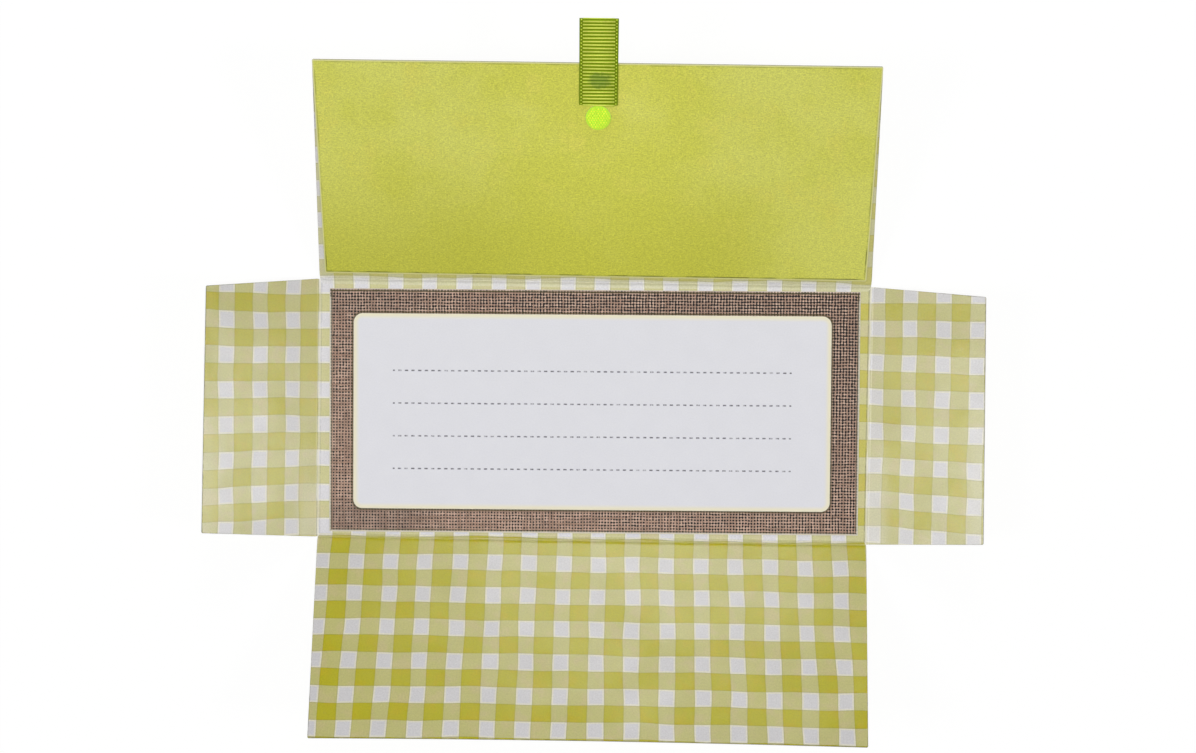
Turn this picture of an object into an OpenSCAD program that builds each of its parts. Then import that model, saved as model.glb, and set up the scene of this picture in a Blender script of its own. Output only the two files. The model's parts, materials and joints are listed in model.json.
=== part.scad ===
// Gift envelope, unfolded: a back panel with four scored flaps, a lined lid with a ribbon pull tab
// and a hook and loop closure, and a burlap-print mat with a writing label.
// Origin: middle of the back panel's underside. +Y is the lid side, +Z is up, all in millimetres.

/* [Card] */
// Distance between the centre lines of the two side folds
fold_span_x = 180; // [140:1:240]
// Distance between the centre lines of the lid fold and the pocket fold
fold_span_y = 84.4; // [66:0.2:110]
// Thickness of the printed card
card_t = 0.35; // [0.2:0.05:0.5]
// Radius that the die leaves at each outer corner
corner_r = 0.5; // [0.2:0.1:1.5]

/* [Lid] */
// Length of the lid, from the fold's centre line to the free edge
lid_len = 74.7; // [66:0.1:82]
// How far the lid's free edge is drawn in at each side
lid_taper = 2; // [0:0.1:6]
// How far the lid stands up from the table
lid_angle = 27; // [5:1:60]

/* [Pocket flap] */
// Length of the pocket flap, from the fold's centre line to the free edge
pocket_len = 67.6; // [50:0.1:74]
// How far the pocket flap's free edge is drawn in at each side
pocket_taper = 2.4; // [0:0.1:6]
// How far the pocket flap stands up from the table
pocket_angle = 29.6; // [5:0.2:60]

/* [Side flaps] */
// Length of a side flap, from the fold's centre line to the free edge
side_len = 39.3; // [20:0.1:60]
// How much shorter a side flap is at the lid's end than at the pocket's
side_slant = 0.9; // [0:0.1:4]
// How far a side flap's free edge is drawn in at each end
side_taper = 2.2; // [0:0.1:6]
// How far the left flap stands up from the table
left_angle = 31.6; // [5:0.2:60]
// How far the right flap stands up from the table
right_angle = 29; // [5:0.2:60]

/* [Folds] */
// How far the lid and the pocket flap stop short of the side folds' centre lines
long_root_gap = 0.3; // [0.1:0.05:0.7]
// How far the side flaps stop short of the other two folds' centre lines
side_root_gap = 0.7; // [0.4:0.05:1]
// Free height left between two leaves when the envelope is shut
leaf_gap = 0.1; // [0.05:0.01:0.3]
// Width of the bead that scoring raises inside each fold
bead_w = 0.9; // [0.5:0.1:1.2]
// Height of that bead, and depth of the groove outside the fold
bead_h = 0.14; // [0.05:0.01:0.18]

/* [Mat and label] */
// Margin of card left at each side of the mat
mat_margin_x = 2.5; // [2:0.1:16]
// Margin of card left above and below the mat
mat_margin_y = 1; // [1:0.1:10]
// Thickness of the mat
mat_t = 0.2; // [0.1:0.05:0.3]
// How far the mat was glued to the right of centre
mat_shift_x = 0.2; // [-1:0.1:1]
// How far the mat was glued towards the lid
mat_shift_y = 0.2; // [-0.3:0.05:0.3]
// Turn of the mat and label, as glued by hand
mat_turn = 0.42; // [-0.46:0.02:0.46]
// Margin of mat left at each side of the label
label_margin_x = 8.6; // [2:0.2:30]
// Margin of mat left above and below the label
label_margin_y = 8.1; // [2:0.1:16]
// How far the label lies to the right of the mat's middle
label_shift_x = -0.7; // [-1:0.05:1]
// How far the label lies towards the lid from the mat's middle
label_shift_y = -0.2; // [-0.5:0.05:0.5]
// Thickness of the label
label_t = 0.15; // [0.1:0.05:0.3]
// Radius of the label's corners
label_r = 3; // [1:0.5:8]

/* [Tape] */
// Thickness of the double-sided tape
tape_t = 0.1; // [0.05:0.01:0.15]
// Width of the double-sided tape
tape_w = 6; // [3:0.5:10]
// How far the tape stays inside the edge of what it holds
tape_inset = 2.5; // [1:0.5:6]

/* [Lid lining] */
// Thickness of the lime sheet inside the lid
lining_t = 0.15; // [0.1:0.05:0.25]
// Distance from the lid fold's centre line to the lime sheet
lining_gap = 1.9; // [1.8:0.1:6]

/* [Ribbon tab] */
// Width of the grosgrain ribbon
ribbon_w = 12; // [8:0.2:20]
// Thickness of the grosgrain ribbon
ribbon_t = 0.3; // [0.2:0.05:0.45]
// Length of each tail that lies on the lid
ribbon_tail = 13.5; // [9:0.1:16]
// How far the loop stands out past the lid's free edge
ribbon_reach = 14.2; // [9:0.1:18]
// Distance of the ribbon from the lid's centre line
ribbon_shift = 0.5; // [-4:0.1:4]
// Inner radius of the bulb at the loop's tip
ribbon_bulb_r = 0.4; // [0.2:0.05:0.6]
// Half the free height where the loop's two runs come closest
ribbon_pinch = 0.08; // [0.04:0.01:0.2]

/* [Closure dots] */
// Diameter of the hook dot and of the loop dot
dot_d = 8; // [6:0.5:9]
// Free space between the hook dot and the ribbon's inner tail
dot_space = 0.15; // [0.1:0.05:3]
// Thickness of a dot's woven ground
dot_ground_t = 0.25; // [0.15:0.05:0.4]
// Height of the hooks or loops above the ground
dot_pile_h = 0.4; // [0.2:0.05:0.6]
// Bare rim of the ground round the hooks or loops
dot_rim = 0.25; // [0.1:0.05:0.6]
// Distance between neighbouring hooks
hook_pitch = 0.85; // [0.7:0.05:1.6]
// Diameter of a hook's stem
hook_stem_d = 0.26; // [0.15:0.01:0.35]
// Diameter of the cap that catches the loops
hook_cap_d = 0.5; // [0.4:0.02:0.6]
// Height of that cap
hook_cap_h = 0.14; // [0.05:0.01:0.18]
// Thickness of a dot's self-adhesive backing
dot_glue_t = 0.08; // [0.04:0.01:0.15]

/* [Hidden] */

// Heights of the layers that lie on the back panel
mat_tape_z = card_t;
mat_z = mat_tape_z + tape_t;
label_tape_z = mat_z + mat_t;
label_z = label_tape_z + tape_t;
label_top_z = label_z + label_t;

// Heights of the layers that lie inside the lid, in the lid's own flat frame
lining_z = card_t + tape_t;
lining_top_z = lining_z + lining_t;

// Each leaf turns about an axis that stands above the table by half the height of its shut top
// face. The shut leaf then lies on the leaf below with leaf_gap between them, and the strip of
// card that bends in the fold is half a circle long.
side_axis_z = (label_top_z + leaf_gap + card_t) / 2;
pocket_axis_z = (2 * side_axis_z + leaf_gap + card_t) / 2;
lid_axis_z = (2 * side_axis_z + leaf_gap + lining_top_z) / 2 + leaf_gap;
function bend_r(axis_z) = axis_z - card_t / 2;
function half_strip(axis_z) = PI * bend_r(axis_z) / 2;
side_strip = half_strip(side_axis_z);
pocket_strip = half_strip(pocket_axis_z);
lid_strip = half_strip(lid_axis_z);

// The back panel stops where the bending strips start
base_left_x = -fold_span_x / 2 + side_strip;
base_w = -2 * base_left_x;
base_top_y = fold_span_y / 2 - lid_strip;
base_bottom_y = -fold_span_y / 2 + pocket_strip;
base_h = base_top_y - base_bottom_y;
base_mid_y = (base_top_y + base_bottom_y) / 2;

// The mat and the label keep their margins, whatever the size of what carries them
mat_w = base_w - 2 * mat_margin_x;
mat_h = base_h - 2 * mat_margin_y;
label_w = mat_w - 2 * label_margin_x;
label_h = mat_h - 2 * label_margin_y;

// Half the width of the lid and the pocket flap at their folds, and of the side flaps at theirs
long_root = fold_span_x / 2 - long_root_gap;
side_root = fold_span_y / 2 - side_root_gap;

// The free edge of the lid, where the lime sheet is trimmed flush and the ribbon goes round
lid_free_w = 2 * (long_root - lid_taper);
ribbon_mid_z = lining_top_z / 2;
ribbon_tail_gap = lining_top_z / 2 + tape_t + ribbon_t / 2;
ribbon_tip_y = lid_len + ribbon_reach;
ribbon_tail_y = lid_len - ribbon_tail;
ribbon_bulb_y = ribbon_tip_y - ribbon_t - ribbon_bulb_r;

// The hook dot lies just inside the ribbon's tail, and the loop dot where the hook dot lands when
// the lid is shut over the shut pocket flap
hook_dot_y = ribbon_tail_y - dot_space - dot_d / 2;
loop_dot_y = fold_span_y - hook_dot_y;

// Shares of the loop's reach at which its two runs have come together, and part again
pinch_start_share = 0.42;
pinch_end_share = 0.8;

// Points along a bent strip, along each ease of the ribbon and round its bulb
strip_steps = 24;
ease_steps = 10;
bulb_steps = 12;
corner_steps = 4;

// Distance by which a tape pad stays inside the ribbon's outline
pad_inset = ribbon_w / 10;

card_outside = "#c9c862";
card_inside = "#d6d69a";
lime_sheet = "#bcc25a";
burlap = "#8c7560";
label_white = "#f1f1ec";
tape_clear = "#e8e4d2";
ribbon_lime = "#b4c83c";
dot_lime = "#cdf03c";

function smooth(u) = u * u * (3 - 2 * u);
function turned(p, a) = [p[0] * cos(a) - p[1] * sin(a), p[0] * sin(a) + p[1] * cos(a)];
function unit2(v) = v / norm(v);

// A convex outline, anticlockwise, with every corner rounded to radius r
function rounded(points, r) = [
    for (i = [0 : len(points) - 1])
        let (
            p = points[i],
            to_last = unit2(points[(i + len(points) - 1) % len(points)] - p),
            to_next = unit2(points[(i + 1) % len(points)] - p),
            half = acos(to_last * to_next) / 2,
            centre = p + unit2(to_last + to_next) * r / sin(half),
            from = p + to_last * r / tan(half) - centre,
            sweep = 180 - 2 * half
        )
        for (k = [0 : corner_steps]) centre + turned(from, sweep * k / corner_steps)
];

// Puts its children at a fold: there +Y points away from the back panel and X runs along the fold
module at_fold(side) {
    turn = side == "lid" ? 0 : side == "left" ? 90 : side == "pocket" ? 180 : -90;
    reach = (side == "lid" || side == "pocket") ? fold_span_y / 2 : fold_span_x / 2;
    rotate([0, 0, turn]) translate([0, reach, 0]) children();
}

// Raises a leaf that is drawn flat in its fold's frame
module raised(axis_z, angle) {
    translate([0, 0, axis_z]) rotate([angle, 0, 0]) translate([0, 0, -axis_z]) children();
}

module on_lid() { at_fold("lid") raised(lid_axis_z, lid_angle) children(); }
module on_pocket() { at_fold("pocket") raised(pocket_axis_z, pocket_angle) children(); }

// A flat leaf of card from its strip to its free edge, drawn in by the taper at each end.
// Its two lengths are those at the end that x runs from and at the end that x runs to.
module leaf(strip, lengths, root, taper) {
    outline = [
        [-root, strip], [root, strip],
        [root - taper, lengths[1]], [-root + taper, lengths[0]]
    ];
    rounded_outline = rounded(outline, corner_r);
    // The corners at the strip stay square, so the strip meets the leaf along its whole edge
    free_end = [for (p = rounded_outline) if (p[1] > (strip + lengths[0]) / 2) p];
    linear_extrude(card_t) polygon(concat([outline[0], outline[1]], free_end));
}

// The strip of card that bends in a fold, with the scored bead inside and the groove outside.
// Its middle line is a cubic curve from the back panel's edge to the raised leaf's edge.
module bent_strip(axis_z, angle, low_x, high_x) {
    strip = half_strip(axis_z);
    start = [-strip, card_t / 2];
    end = turned([strip, card_t / 2 - axis_z], angle) + [0, axis_z];
    pull = norm(end - start);
    start_pull = [pull, 0];
    end_pull = turned([pull, 0], angle);
    function middle(u) =
        start * (1 - smooth(u)) + end * smooth(u)
        + start_pull * u * pow(1 - u, 2) - end_pull * pow(u, 2) * (1 - u);
    function slope(u) =
        (end - start) * 6 * u * (1 - u)
        + start_pull * (1 - u) * (1 - 3 * u) + end_pull * u * (3 * u - 2);
    function normal(u) = turned(unit2(slope(u)), 90);
    function bead(u) =
        let (from_mid = abs(u - 1 / 2) * 2 * strip)
        from_mid < bead_w / 2 ? bead_h * (1 + cos(360 * from_mid / bead_w)) / 2 : 0;
    upper = [for (i = [0 : strip_steps]) let (u = i / strip_steps)
        middle(u) + normal(u) * (card_t / 2 + bead(u))];
    lower = [for (i = [strip_steps : -1 : 0]) let (u = i / strip_steps)
        middle(u) + normal(u) * (bead(u) - card_t / 2)];
    translate([low_x, 0, 0]) rotate([90, 0, 90])
        linear_extrude(high_x - low_x) polygon(concat(upper, lower));
}

// Four strips of double-sided tape round the inside of a sheet of size w by h
module tape_frame(w, h) {
    long = w - 2 * tape_inset;
    short = h - 2 * tape_inset - 2 * tape_w - 2 * tape_inset;
    linear_extrude(tape_t) {
        for (side = [-1, 1]) {
            translate([0, side * (h / 2 - tape_inset - tape_w / 2)])
                square([long, tape_w], center = true);
            translate([side * (w / 2 - tape_inset - tape_w / 2), 0])
                square([tape_w, short], center = true);
        }
    }
}

// Puts its children at a height on the back panel, turned and shifted as the mat was glued
module on_mat(z) {
    translate([mat_shift_x, base_mid_y + mat_shift_y, z]) rotate([0, 0, mat_turn]) children();
}

// The same for the label, which lies a little off the mat's middle
module on_label(z) {
    on_mat(z) translate([label_shift_x, label_shift_y, 0]) children();
}

// A sheet with round corners
module round_sheet(w, h, r, t) {
    linear_extrude(t) {
        square([w - 2 * r, h], center = true);
        square([w, h - 2 * r], center = true);
        for (x = [-1, 1], y = [-1, 1])
            translate([x * (w / 2 - r), y * (h / 2 - r)]) circle(r, $fn = 48);
    }
}

// The woven ground that carries a dot's hooks or loops
module dot_ground() {
    cylinder(d = dot_d, h = dot_ground_t, $fn = 64);
}

// Mushroom hooks in close rows, as many as fit inside the ground's bare rim
module hook_field() {
    reach = dot_d / 2 - dot_rim - hook_cap_d / 2;
    row_pitch = hook_pitch * sin(60);
    rows = floor(reach / row_pitch);
    stem_h = dot_pile_h - hook_cap_h;
    for (row = [-rows : rows])
        let (
            y = row * row_pitch,
            half_row = sqrt(reach * reach - y * y),
            stagger = row % 2 == 0 ? 0 : hook_pitch / 2,
            first = ceil((-half_row - stagger) / hook_pitch),
            last = floor((half_row - stagger) / hook_pitch)
        )
        for (i = [first : last])
            translate([i * hook_pitch + stagger, y, dot_ground_t]) {
                translate([0, 0, -dot_ground_t / 2]) cylinder(
                    d = hook_stem_d, h = stem_h + (dot_ground_t + hook_cap_h) / 2, $fn = 16
                );
                translate([0, 0, stem_h])
                    cylinder(d1 = hook_cap_d, d2 = hook_stem_d, h = hook_cap_h, $fn = 16);
            }
}

// The cushion of loops, drawn as a turned profile with a round shoulder
module loop_cushion() {
    pile_r = dot_d / 2 - dot_rim;
    shoulder = dot_pile_h / 2;
    translate([0, 0, dot_ground_t]) rotate_extrude($fn = 64) {
        square([pile_r, shoulder]);
        square([pile_r - shoulder, dot_pile_h]);
        translate([pile_r - shoulder, shoulder]) intersection() {
            circle(shoulder, $fn = 32);
            square(shoulder);
        }
    }
}

module base_panel() {
    color(card_inside) translate([base_left_x, base_bottom_y, 0]) cube([base_w, base_h, card_t]);
}

module lid_panel() {
    color(card_inside) on_lid() leaf(lid_strip, [lid_len, lid_len], long_root, lid_taper);
}

module pocket_panel() {
    color(card_inside) on_pocket()
        leaf(pocket_strip, [pocket_len, pocket_len], long_root, pocket_taper);
}

module left_flap() {
    color(card_inside) at_fold("left") raised(side_axis_z, left_angle)
        leaf(side_strip, [side_len, side_len - side_slant], side_root, side_taper);
}

module right_flap() {
    color(card_inside) at_fold("right") raised(side_axis_z, right_angle)
        leaf(side_strip, [side_len - side_slant, side_len], side_root, side_taper);
}

module lid_crease() {
    color(card_outside) at_fold("lid") bent_strip(lid_axis_z, lid_angle, -base_w / 2, base_w / 2);
}

module pocket_crease() {
    color(card_outside) at_fold("pocket")
        bent_strip(pocket_axis_z, pocket_angle, -base_w / 2, base_w / 2);
}

module left_crease() {
    color(card_outside) at_fold("left")
        bent_strip(side_axis_z, left_angle, base_bottom_y, base_top_y);
}

module right_crease() {
    color(card_outside) at_fold("right")
        bent_strip(side_axis_z, right_angle, -base_top_y, -base_bottom_y);
}

module mat_tape() {
    color(tape_clear) on_mat(mat_tape_z) tape_frame(mat_w, mat_h);
}

module burlap_mat() {
    color(burlap) on_mat(mat_z) linear_extrude(mat_t) square([mat_w, mat_h], center = true);
}

module label_tape() {
    color(tape_clear) on_label(label_tape_z) tape_frame(label_w, label_h);
}

module writing_label() {
    color(label_white) on_label(label_z) round_sheet(label_w, label_h, label_r, label_t);
}

module lining_tape() {
    color(tape_clear) on_lid() translate([0, (lid_len + lining_gap) / 2, card_t])
        tape_frame(lid_free_w, lid_len - lining_gap);
}

// The sheet is a true rectangle: it covers the free edge from corner to corner, and leaves a
// thin wedge of card at each side towards the fold
module lid_lining() {
    half_w = lid_free_w / 2;
    outline = [
        [-half_w, lining_gap], [half_w, lining_gap], [half_w, lid_len], [-half_w, lid_len]
    ];
    color(lime_sheet) on_lid() translate([0, 0, lining_z])
        linear_extrude(lining_t) polygon(rounded(outline, corner_r));
}

// One pad of tape under each tail: on the lime sheet and on the lid's outside
module ribbon_tape() {
    pad = [ribbon_w - 2 * pad_inset, ribbon_tail - 2 * pad_inset, tape_t];
    color(tape_clear) on_lid() for (z = [-tape_t, lining_top_z])
        translate([ribbon_shift - pad[0] / 2, ribbon_tail_y + pad_inset, z]) cube(pad);
}

// Half the distance between the middle lines of the loop's two runs, at y past the lid's fold
function ribbon_half_gap(y) =
    let (
        pinch = ribbon_t / 2 + ribbon_pinch,
        bulb = ribbon_bulb_r + ribbon_t / 2,
        pinch_y = lid_len + ribbon_reach * pinch_start_share,
        part_y = lid_len + ribbon_reach * pinch_end_share
    )
    y < lid_len ? ribbon_tail_gap
    : y < pinch_y ? ribbon_tail_gap
        + (pinch - ribbon_tail_gap) * smooth((y - lid_len) / (pinch_y - lid_len))
    : y < part_y ? pinch
    : pinch + (bulb - pinch) * smooth((y - part_y) / (ribbon_bulb_y - part_y));

// The stations along one run: the tail's end, the two eases, and the start of the bulb
ribbon_stations = concat(
    [ribbon_tail_y],
    [for (i = [0 : ease_steps])
        lid_len + ribbon_reach * pinch_start_share * i / ease_steps],
    [for (i = [0 : ease_steps])
        let (part_y = lid_len + ribbon_reach * pinch_end_share)
        part_y + (ribbon_bulb_y - part_y) * i / ease_steps]
);

// One face of the ribbon, offset from its middle line: along the inner run, round the bulb and
// back along the outer run
function ribbon_face(offset) = concat(
    [for (y = ribbon_stations) [y, ribbon_mid_z + ribbon_half_gap(y) + offset]],
    [for (i = [1 : bulb_steps - 1]) let (a = 90 - 180 * i / bulb_steps)
        [ribbon_bulb_y, ribbon_mid_z] + turned([ribbon_bulb_r + ribbon_t / 2 + offset, 0], a)],
    [for (i = [len(ribbon_stations) - 1 : -1 : 0]) let (y = ribbon_stations[i])
        [y, ribbon_mid_z - ribbon_half_gap(y) - offset]]
);

module ribbon_tab() {
    inside = ribbon_face(-ribbon_t / 2);
    back_along_inside = [for (i = [len(inside) - 1 : -1 : 0]) inside[i]];
    color(ribbon_lime) on_lid() translate([ribbon_shift - ribbon_w / 2, 0, 0])
        rotate([90, 0, 90]) linear_extrude(ribbon_w)
            polygon(concat(ribbon_face(ribbon_t / 2), back_along_inside));
}

module hook_backing() {
    color(tape_clear) on_lid() translate([ribbon_shift, hook_dot_y, lining_top_z])
        cylinder(d = dot_d, h = dot_glue_t, $fn = 64);
}

module hook_dot() {
    color(dot_lime) on_lid() translate([ribbon_shift, hook_dot_y, lining_top_z + dot_glue_t]) {
        dot_ground();
        hook_field();
    }
}

// The pocket flap's outside is its underside here, so this dot hangs below the card
module loop_backing() {
    color(tape_clear) on_pocket() translate([-ribbon_shift, loop_dot_y, -dot_glue_t])
        cylinder(d = dot_d, h = dot_glue_t, $fn = 64);
}

module loop_dot() {
    color(dot_lime) on_pocket() translate([-ribbon_shift, loop_dot_y, -dot_glue_t])
        rotate([180, 0, 0]) {
            dot_ground();
            loop_cushion();
        }
}

base_panel();
lid_panel();
pocket_panel();
left_flap();
right_flap();
lid_crease();
pocket_crease();
left_crease();
right_crease();
mat_tape();
burlap_mat();
label_tape();
writing_label();
lining_tape();
lid_lining();
ribbon_tape();
ribbon_tab();
hook_backing();
hook_dot();
loop_backing();
loop_dot();
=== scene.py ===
"""Looks of an unfolded gift envelope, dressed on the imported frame.

Lengths are millimetres while a piece is laid out, and metres once its mesh is written.
"""
import json
import logging
import math
from collections.abc import Callable, Mapping, Sequence
from dataclasses import dataclass, field
from enum import Enum

import bmesh
import bpy
from mathutils import Euler, Matrix, Vector


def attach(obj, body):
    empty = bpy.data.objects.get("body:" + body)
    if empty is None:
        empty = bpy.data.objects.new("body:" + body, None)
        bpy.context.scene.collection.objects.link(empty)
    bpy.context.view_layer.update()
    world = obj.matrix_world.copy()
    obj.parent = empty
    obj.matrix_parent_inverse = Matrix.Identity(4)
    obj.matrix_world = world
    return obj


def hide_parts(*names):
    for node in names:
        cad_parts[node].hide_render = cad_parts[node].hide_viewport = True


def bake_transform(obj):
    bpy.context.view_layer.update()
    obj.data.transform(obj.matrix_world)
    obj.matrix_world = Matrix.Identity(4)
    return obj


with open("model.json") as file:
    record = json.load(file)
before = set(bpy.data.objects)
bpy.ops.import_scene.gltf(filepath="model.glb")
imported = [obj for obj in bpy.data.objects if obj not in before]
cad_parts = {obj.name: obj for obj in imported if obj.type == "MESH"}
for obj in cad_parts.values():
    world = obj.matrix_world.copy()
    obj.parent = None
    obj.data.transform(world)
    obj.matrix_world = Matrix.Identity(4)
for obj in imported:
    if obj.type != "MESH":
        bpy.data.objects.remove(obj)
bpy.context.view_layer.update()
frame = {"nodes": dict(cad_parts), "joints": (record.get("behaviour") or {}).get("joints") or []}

MM = 0.001

Colour = tuple[float, float, float, float]
Point2 = tuple[float, float]
Place = Callable[[float, float, float], Vector]
Print = Callable[[float, float], Point2]
Socket = bpy.types.NodeSocket
Piece = bpy.types.Object

# Sizes that more than one piece takes, in millimetres.
CARD = 0.35
LID_LENGTH = 74.7
LABEL_HALF = (78.1, 32.0)
LABEL_CORNER = 3.0
LABEL_SHIFT = (-0.7, -0.2)
DOT_GLUE = 0.08

log = logging.getLogger("gift_envelope")


def linked(name: str, data: bpy.types.ID) -> Piece:
    """Adds an object with its data to the scene."""
    piece = bpy.data.objects.new(name, data)
    bpy.context.scene.collection.objects.link(piece)
    return piece


def ink(red: float, green: float, blue: float) -> Colour:
    """Turns a screen colour into the linear colour that a shader takes.

    Args:
        red: Red from 0 to 255.
        green: Green from 0 to 255.
        blue: Blue from 0 to 255.

    Returns:
        The linear colour, with full cover.
    """
    def linear(byte: float) -> float:
        """Turns one channel from screen value to light."""
        share = byte / 255
        return share / 12.92 if share <= 0.04045 else ((share + 0.055) / 1.055) ** 2.4

    return (linear(red), linear(green), linear(blue), 1.0)


class Bench:
    """Adds nodes to one tree and joins them, so a recipe reads as a list of steps."""

    def __init__(self, tree: bpy.types.NodeTree) -> None:
        """Sets the tree to work on.

        Args:
            tree: The shader or geometry tree to fill.
        """
        self.tree = tree

    def add(self, kind: str, feeds: Mapping[int | str, object] | None = None,
            **settings: object) -> bpy.types.Node:
        """Adds one node.

        Args:
            kind: The node's type.
            feeds: What each input takes: another node, its output, or a plain value.
            **settings: Options that are set on the node itself.

        Returns:
            The new node.
        """
        node = self.tree.nodes.new(kind)
        for name, value in settings.items():
            setattr(node, name, value)
        for key, value in (feeds or {}).items():
            self.feed(node.inputs[key], value)
        return node

    def feed(self, socket: Socket, value: object) -> None:
        """Joins an output to an input, or sets the input's value.

        Args:
            socket: The input.
            value: A plain value, an output socket, or a node, whose first output is taken.
        """
        if isinstance(value, bpy.types.Node):
            value = value.outputs[0]
        if isinstance(value, Socket):
            self.tree.links.new(value, socket)
        else:
            socket.default_value = value

    def math(self, operation: str, first: object, second: object = 0.0,
             third: object = 0.0) -> Socket:
        """Adds one step of arithmetic.

        Args:
            operation: Blender's name of the step.
            first: First number.
            second: Second number, where the step takes one.
            third: Third number, where the step takes one.

        Returns:
            The result.
        """
        node = self.add("ShaderNodeMath", {0: first, 1: second, 2: third}, operation=operation)
        return node.outputs[0]

    def times(self, first: object, second: object) -> Socket:
        """Multiplies two numbers."""
        return self.math("MULTIPLY", first, second)


class Shades(Bench):
    """A bench for one material, with the steps that the finishes share."""

    def __init__(self, name: str) -> None:
        """Makes the material and clears its tree.

        Args:
            name: The material's name.
        """
        self.material = bpy.data.materials.new(name)
        self.material.use_nodes = True
        super().__init__(self.material.node_tree)
        self.tree.nodes.clear()

    def sheet(self) -> Socket:
        """Gives the point on the flat sheet, in millimetres."""
        return self.add("ShaderNodeUVMap", uv_map="sheet").outputs[0]

    def solid(self) -> Socket:
        """Gives the point in space, in metres."""
        return self.add("ShaderNodeTexCoord").outputs["Object"]

    def millimetres(self) -> Socket:
        """Gives the point in space, in millimetres."""
        return self.scaled(self.solid(), (1 / MM,) * 3)

    def stored(self, name: str) -> Socket:
        """Gives a number that the mesh carries.

        Args:
            name: The attribute's name.

        Returns:
            The number.
        """
        return self.add("ShaderNodeAttribute", attribute_name=name).outputs["Fac"]

    def split(self, vector: object) -> tuple[Socket, Socket]:
        """Takes the first two numbers of a vector.

        Args:
            vector: The vector.

        Returns:
            Its x and its y.
        """
        node = self.add("ShaderNodeSeparateXYZ", {0: vector})
        return node.outputs[0], node.outputs[1]

    def scaled(self, vector: object, scale: Sequence[float], turn: float = 0.0) -> Socket:
        """Stretches and turns a vector.

        Args:
            vector: The vector.
            scale: Factor along each of its three directions.
            turn: Turn about the third direction, in degrees.

        Returns:
            The stretched vector.
        """
        feeds = {"Vector": vector, "Scale": tuple(scale),
                 "Rotation": (0.0, 0.0, math.radians(turn))}
        return self.add("ShaderNodeMapping", feeds).outputs[0]

    def noise(self, vector: object, scale: float, detail: float = 2.0,
              rough: float = 0.5) -> Socket:
        """Reads smooth noise.

        Args:
            vector: Where it is read.
            scale: Bumps per unit of that vector.
            detail: Number of finer layers.
            rough: Strength of each finer layer.

        Returns:
            A number round one half.
        """
        feeds = {"Vector": vector, "Scale": scale, "Detail": detail, "Roughness": rough}
        return self.add("ShaderNodeTexNoise", feeds).outputs[0]

    def wandered(self, sheet: object, scale: float, detail: float, reach: float) -> Socket:
        """Shifts the points of a sheet to and fro, so that straight lines wander a little.

        Args:
            sheet: Point on the flat sheet.
            scale: Bumps of the wander per millimetre.
            detail: Number of finer layers.
            reach: Width of the range in which a point is shifted.

        Returns:
            The shifted point.
        """
        feeds = {"Vector": sheet, "Scale": scale, "Detail": detail, "Roughness": 0.5}
        drift = self.add("ShaderNodeTexNoise", feeds).outputs["Color"]
        for step, other in (("SUBTRACT", (0.5, 0.5, 0.5)), ("MULTIPLY", (reach, reach, 0.0))):
            drift = self.add("ShaderNodeVectorMath", {0: drift, 1: other},
                             operation=step).outputs[0]
        return self.add("ShaderNodeVectorMath", {0: sheet, 1: drift}, operation="ADD").outputs[0]

    def blur(self, value: object, low: float, high: float, start: float = 0.0,
             end: float = 1.0) -> Socket:
        """Leads smoothly from one number to another.

        Args:
            value: What decides.
            low: Below this the result is start.
            high: Above this the result is end.
            start: First result.
            end: Last result.

        Returns:
            The result.
        """
        feeds = {0: value, 1: low, 2: high, 3: start, 4: end}
        node = self.add("ShaderNodeMapRange", feeds, interpolation_type="SMOOTHSTEP")
        return node.outputs[0]

    def spread(self, value: object, start: float, end: float) -> Socket:
        """Stretches noise, which stays near one half, over a range.

        Args:
            value: The noise.
            start: Result where the noise is low.
            end: Result where it is high.

        Returns:
            The result.
        """
        feeds = {0: value, 1: 0.3, 2: 0.7, 3: start, 4: end}
        return self.add("ShaderNodeMapRange", feeds, clamp=False).outputs[0]

    def blend(self, share: object, first: object, second: object, way: str = "MIX") -> Socket:
        """Mixes two colours.

        Args:
            share: How much of the second.
            first: First colour.
            second: Second colour.
            way: Blender's name of the way to mix.

        Returns:
            The mixed colour.
        """
        node = self.add("ShaderNodeMix", {0: share, 6: first, 7: second}, data_type="RGBA",
                        blend_type=way, clamp_factor=True)
        return node.outputs[2]

    def from_rim(self, x: object, y: object, half_w: float, half_h: float,
                 corner: float) -> Socket:
        """Measures the distance outwards from the rim of a round-cornered sheet.

        Args:
            x: Place across the sheet, from its middle.
            y: Place up the sheet, from its middle.
            half_w: Half the sheet's width.
            half_h: Half its height.
            corner: Radius of its corners.

        Returns:
            The distance, below zero on the sheet.
        """
        over_x = self.math("SUBTRACT", self.math("ABSOLUTE", x), half_w - corner)
        over_y = self.math("SUBTRACT", self.math("ABSOLUTE", y), half_h - corner)
        out_x = self.math("MAXIMUM", over_x, 0.0)
        out_y = self.math("MAXIMUM", over_y, 0.0)
        square = self.math("MULTIPLY_ADD", out_x, out_x, self.times(out_y, out_y))
        inside = self.math("MINIMUM", self.math("MAXIMUM", over_x, over_y), 0.0)
        return self.math("SUBTRACT", self.math("ADD", self.math("SQRT", square), inside), corner)

    def band(self, value: object, middle: float, half: float, soft: float,
             height: float = 1.0) -> Socket:
        """Draws a soft-edged band round one value.

        Args:
            value: What decides.
            middle: Middle of the band.
            half: Half its width.
            soft: Width of its soft edges.
            height: Its strength.

        Returns:
            The strength.
        """
        off = self.math("ABSOLUTE", self.math("SUBTRACT", value, middle))
        return self.blur(off, half - soft / 2, half + soft / 2, height, 0.0)

    def tone(self, colour: object, value: object) -> Socket:
        """Makes a colour lighter or darker.

        Args:
            colour: The colour.
            value: Factor on its lightness.

        Returns:
            The new colour.
        """
        feeds = {"Value": value, "Color": colour}
        return self.add("ShaderNodeHueSaturation", feeds).outputs[0]

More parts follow.
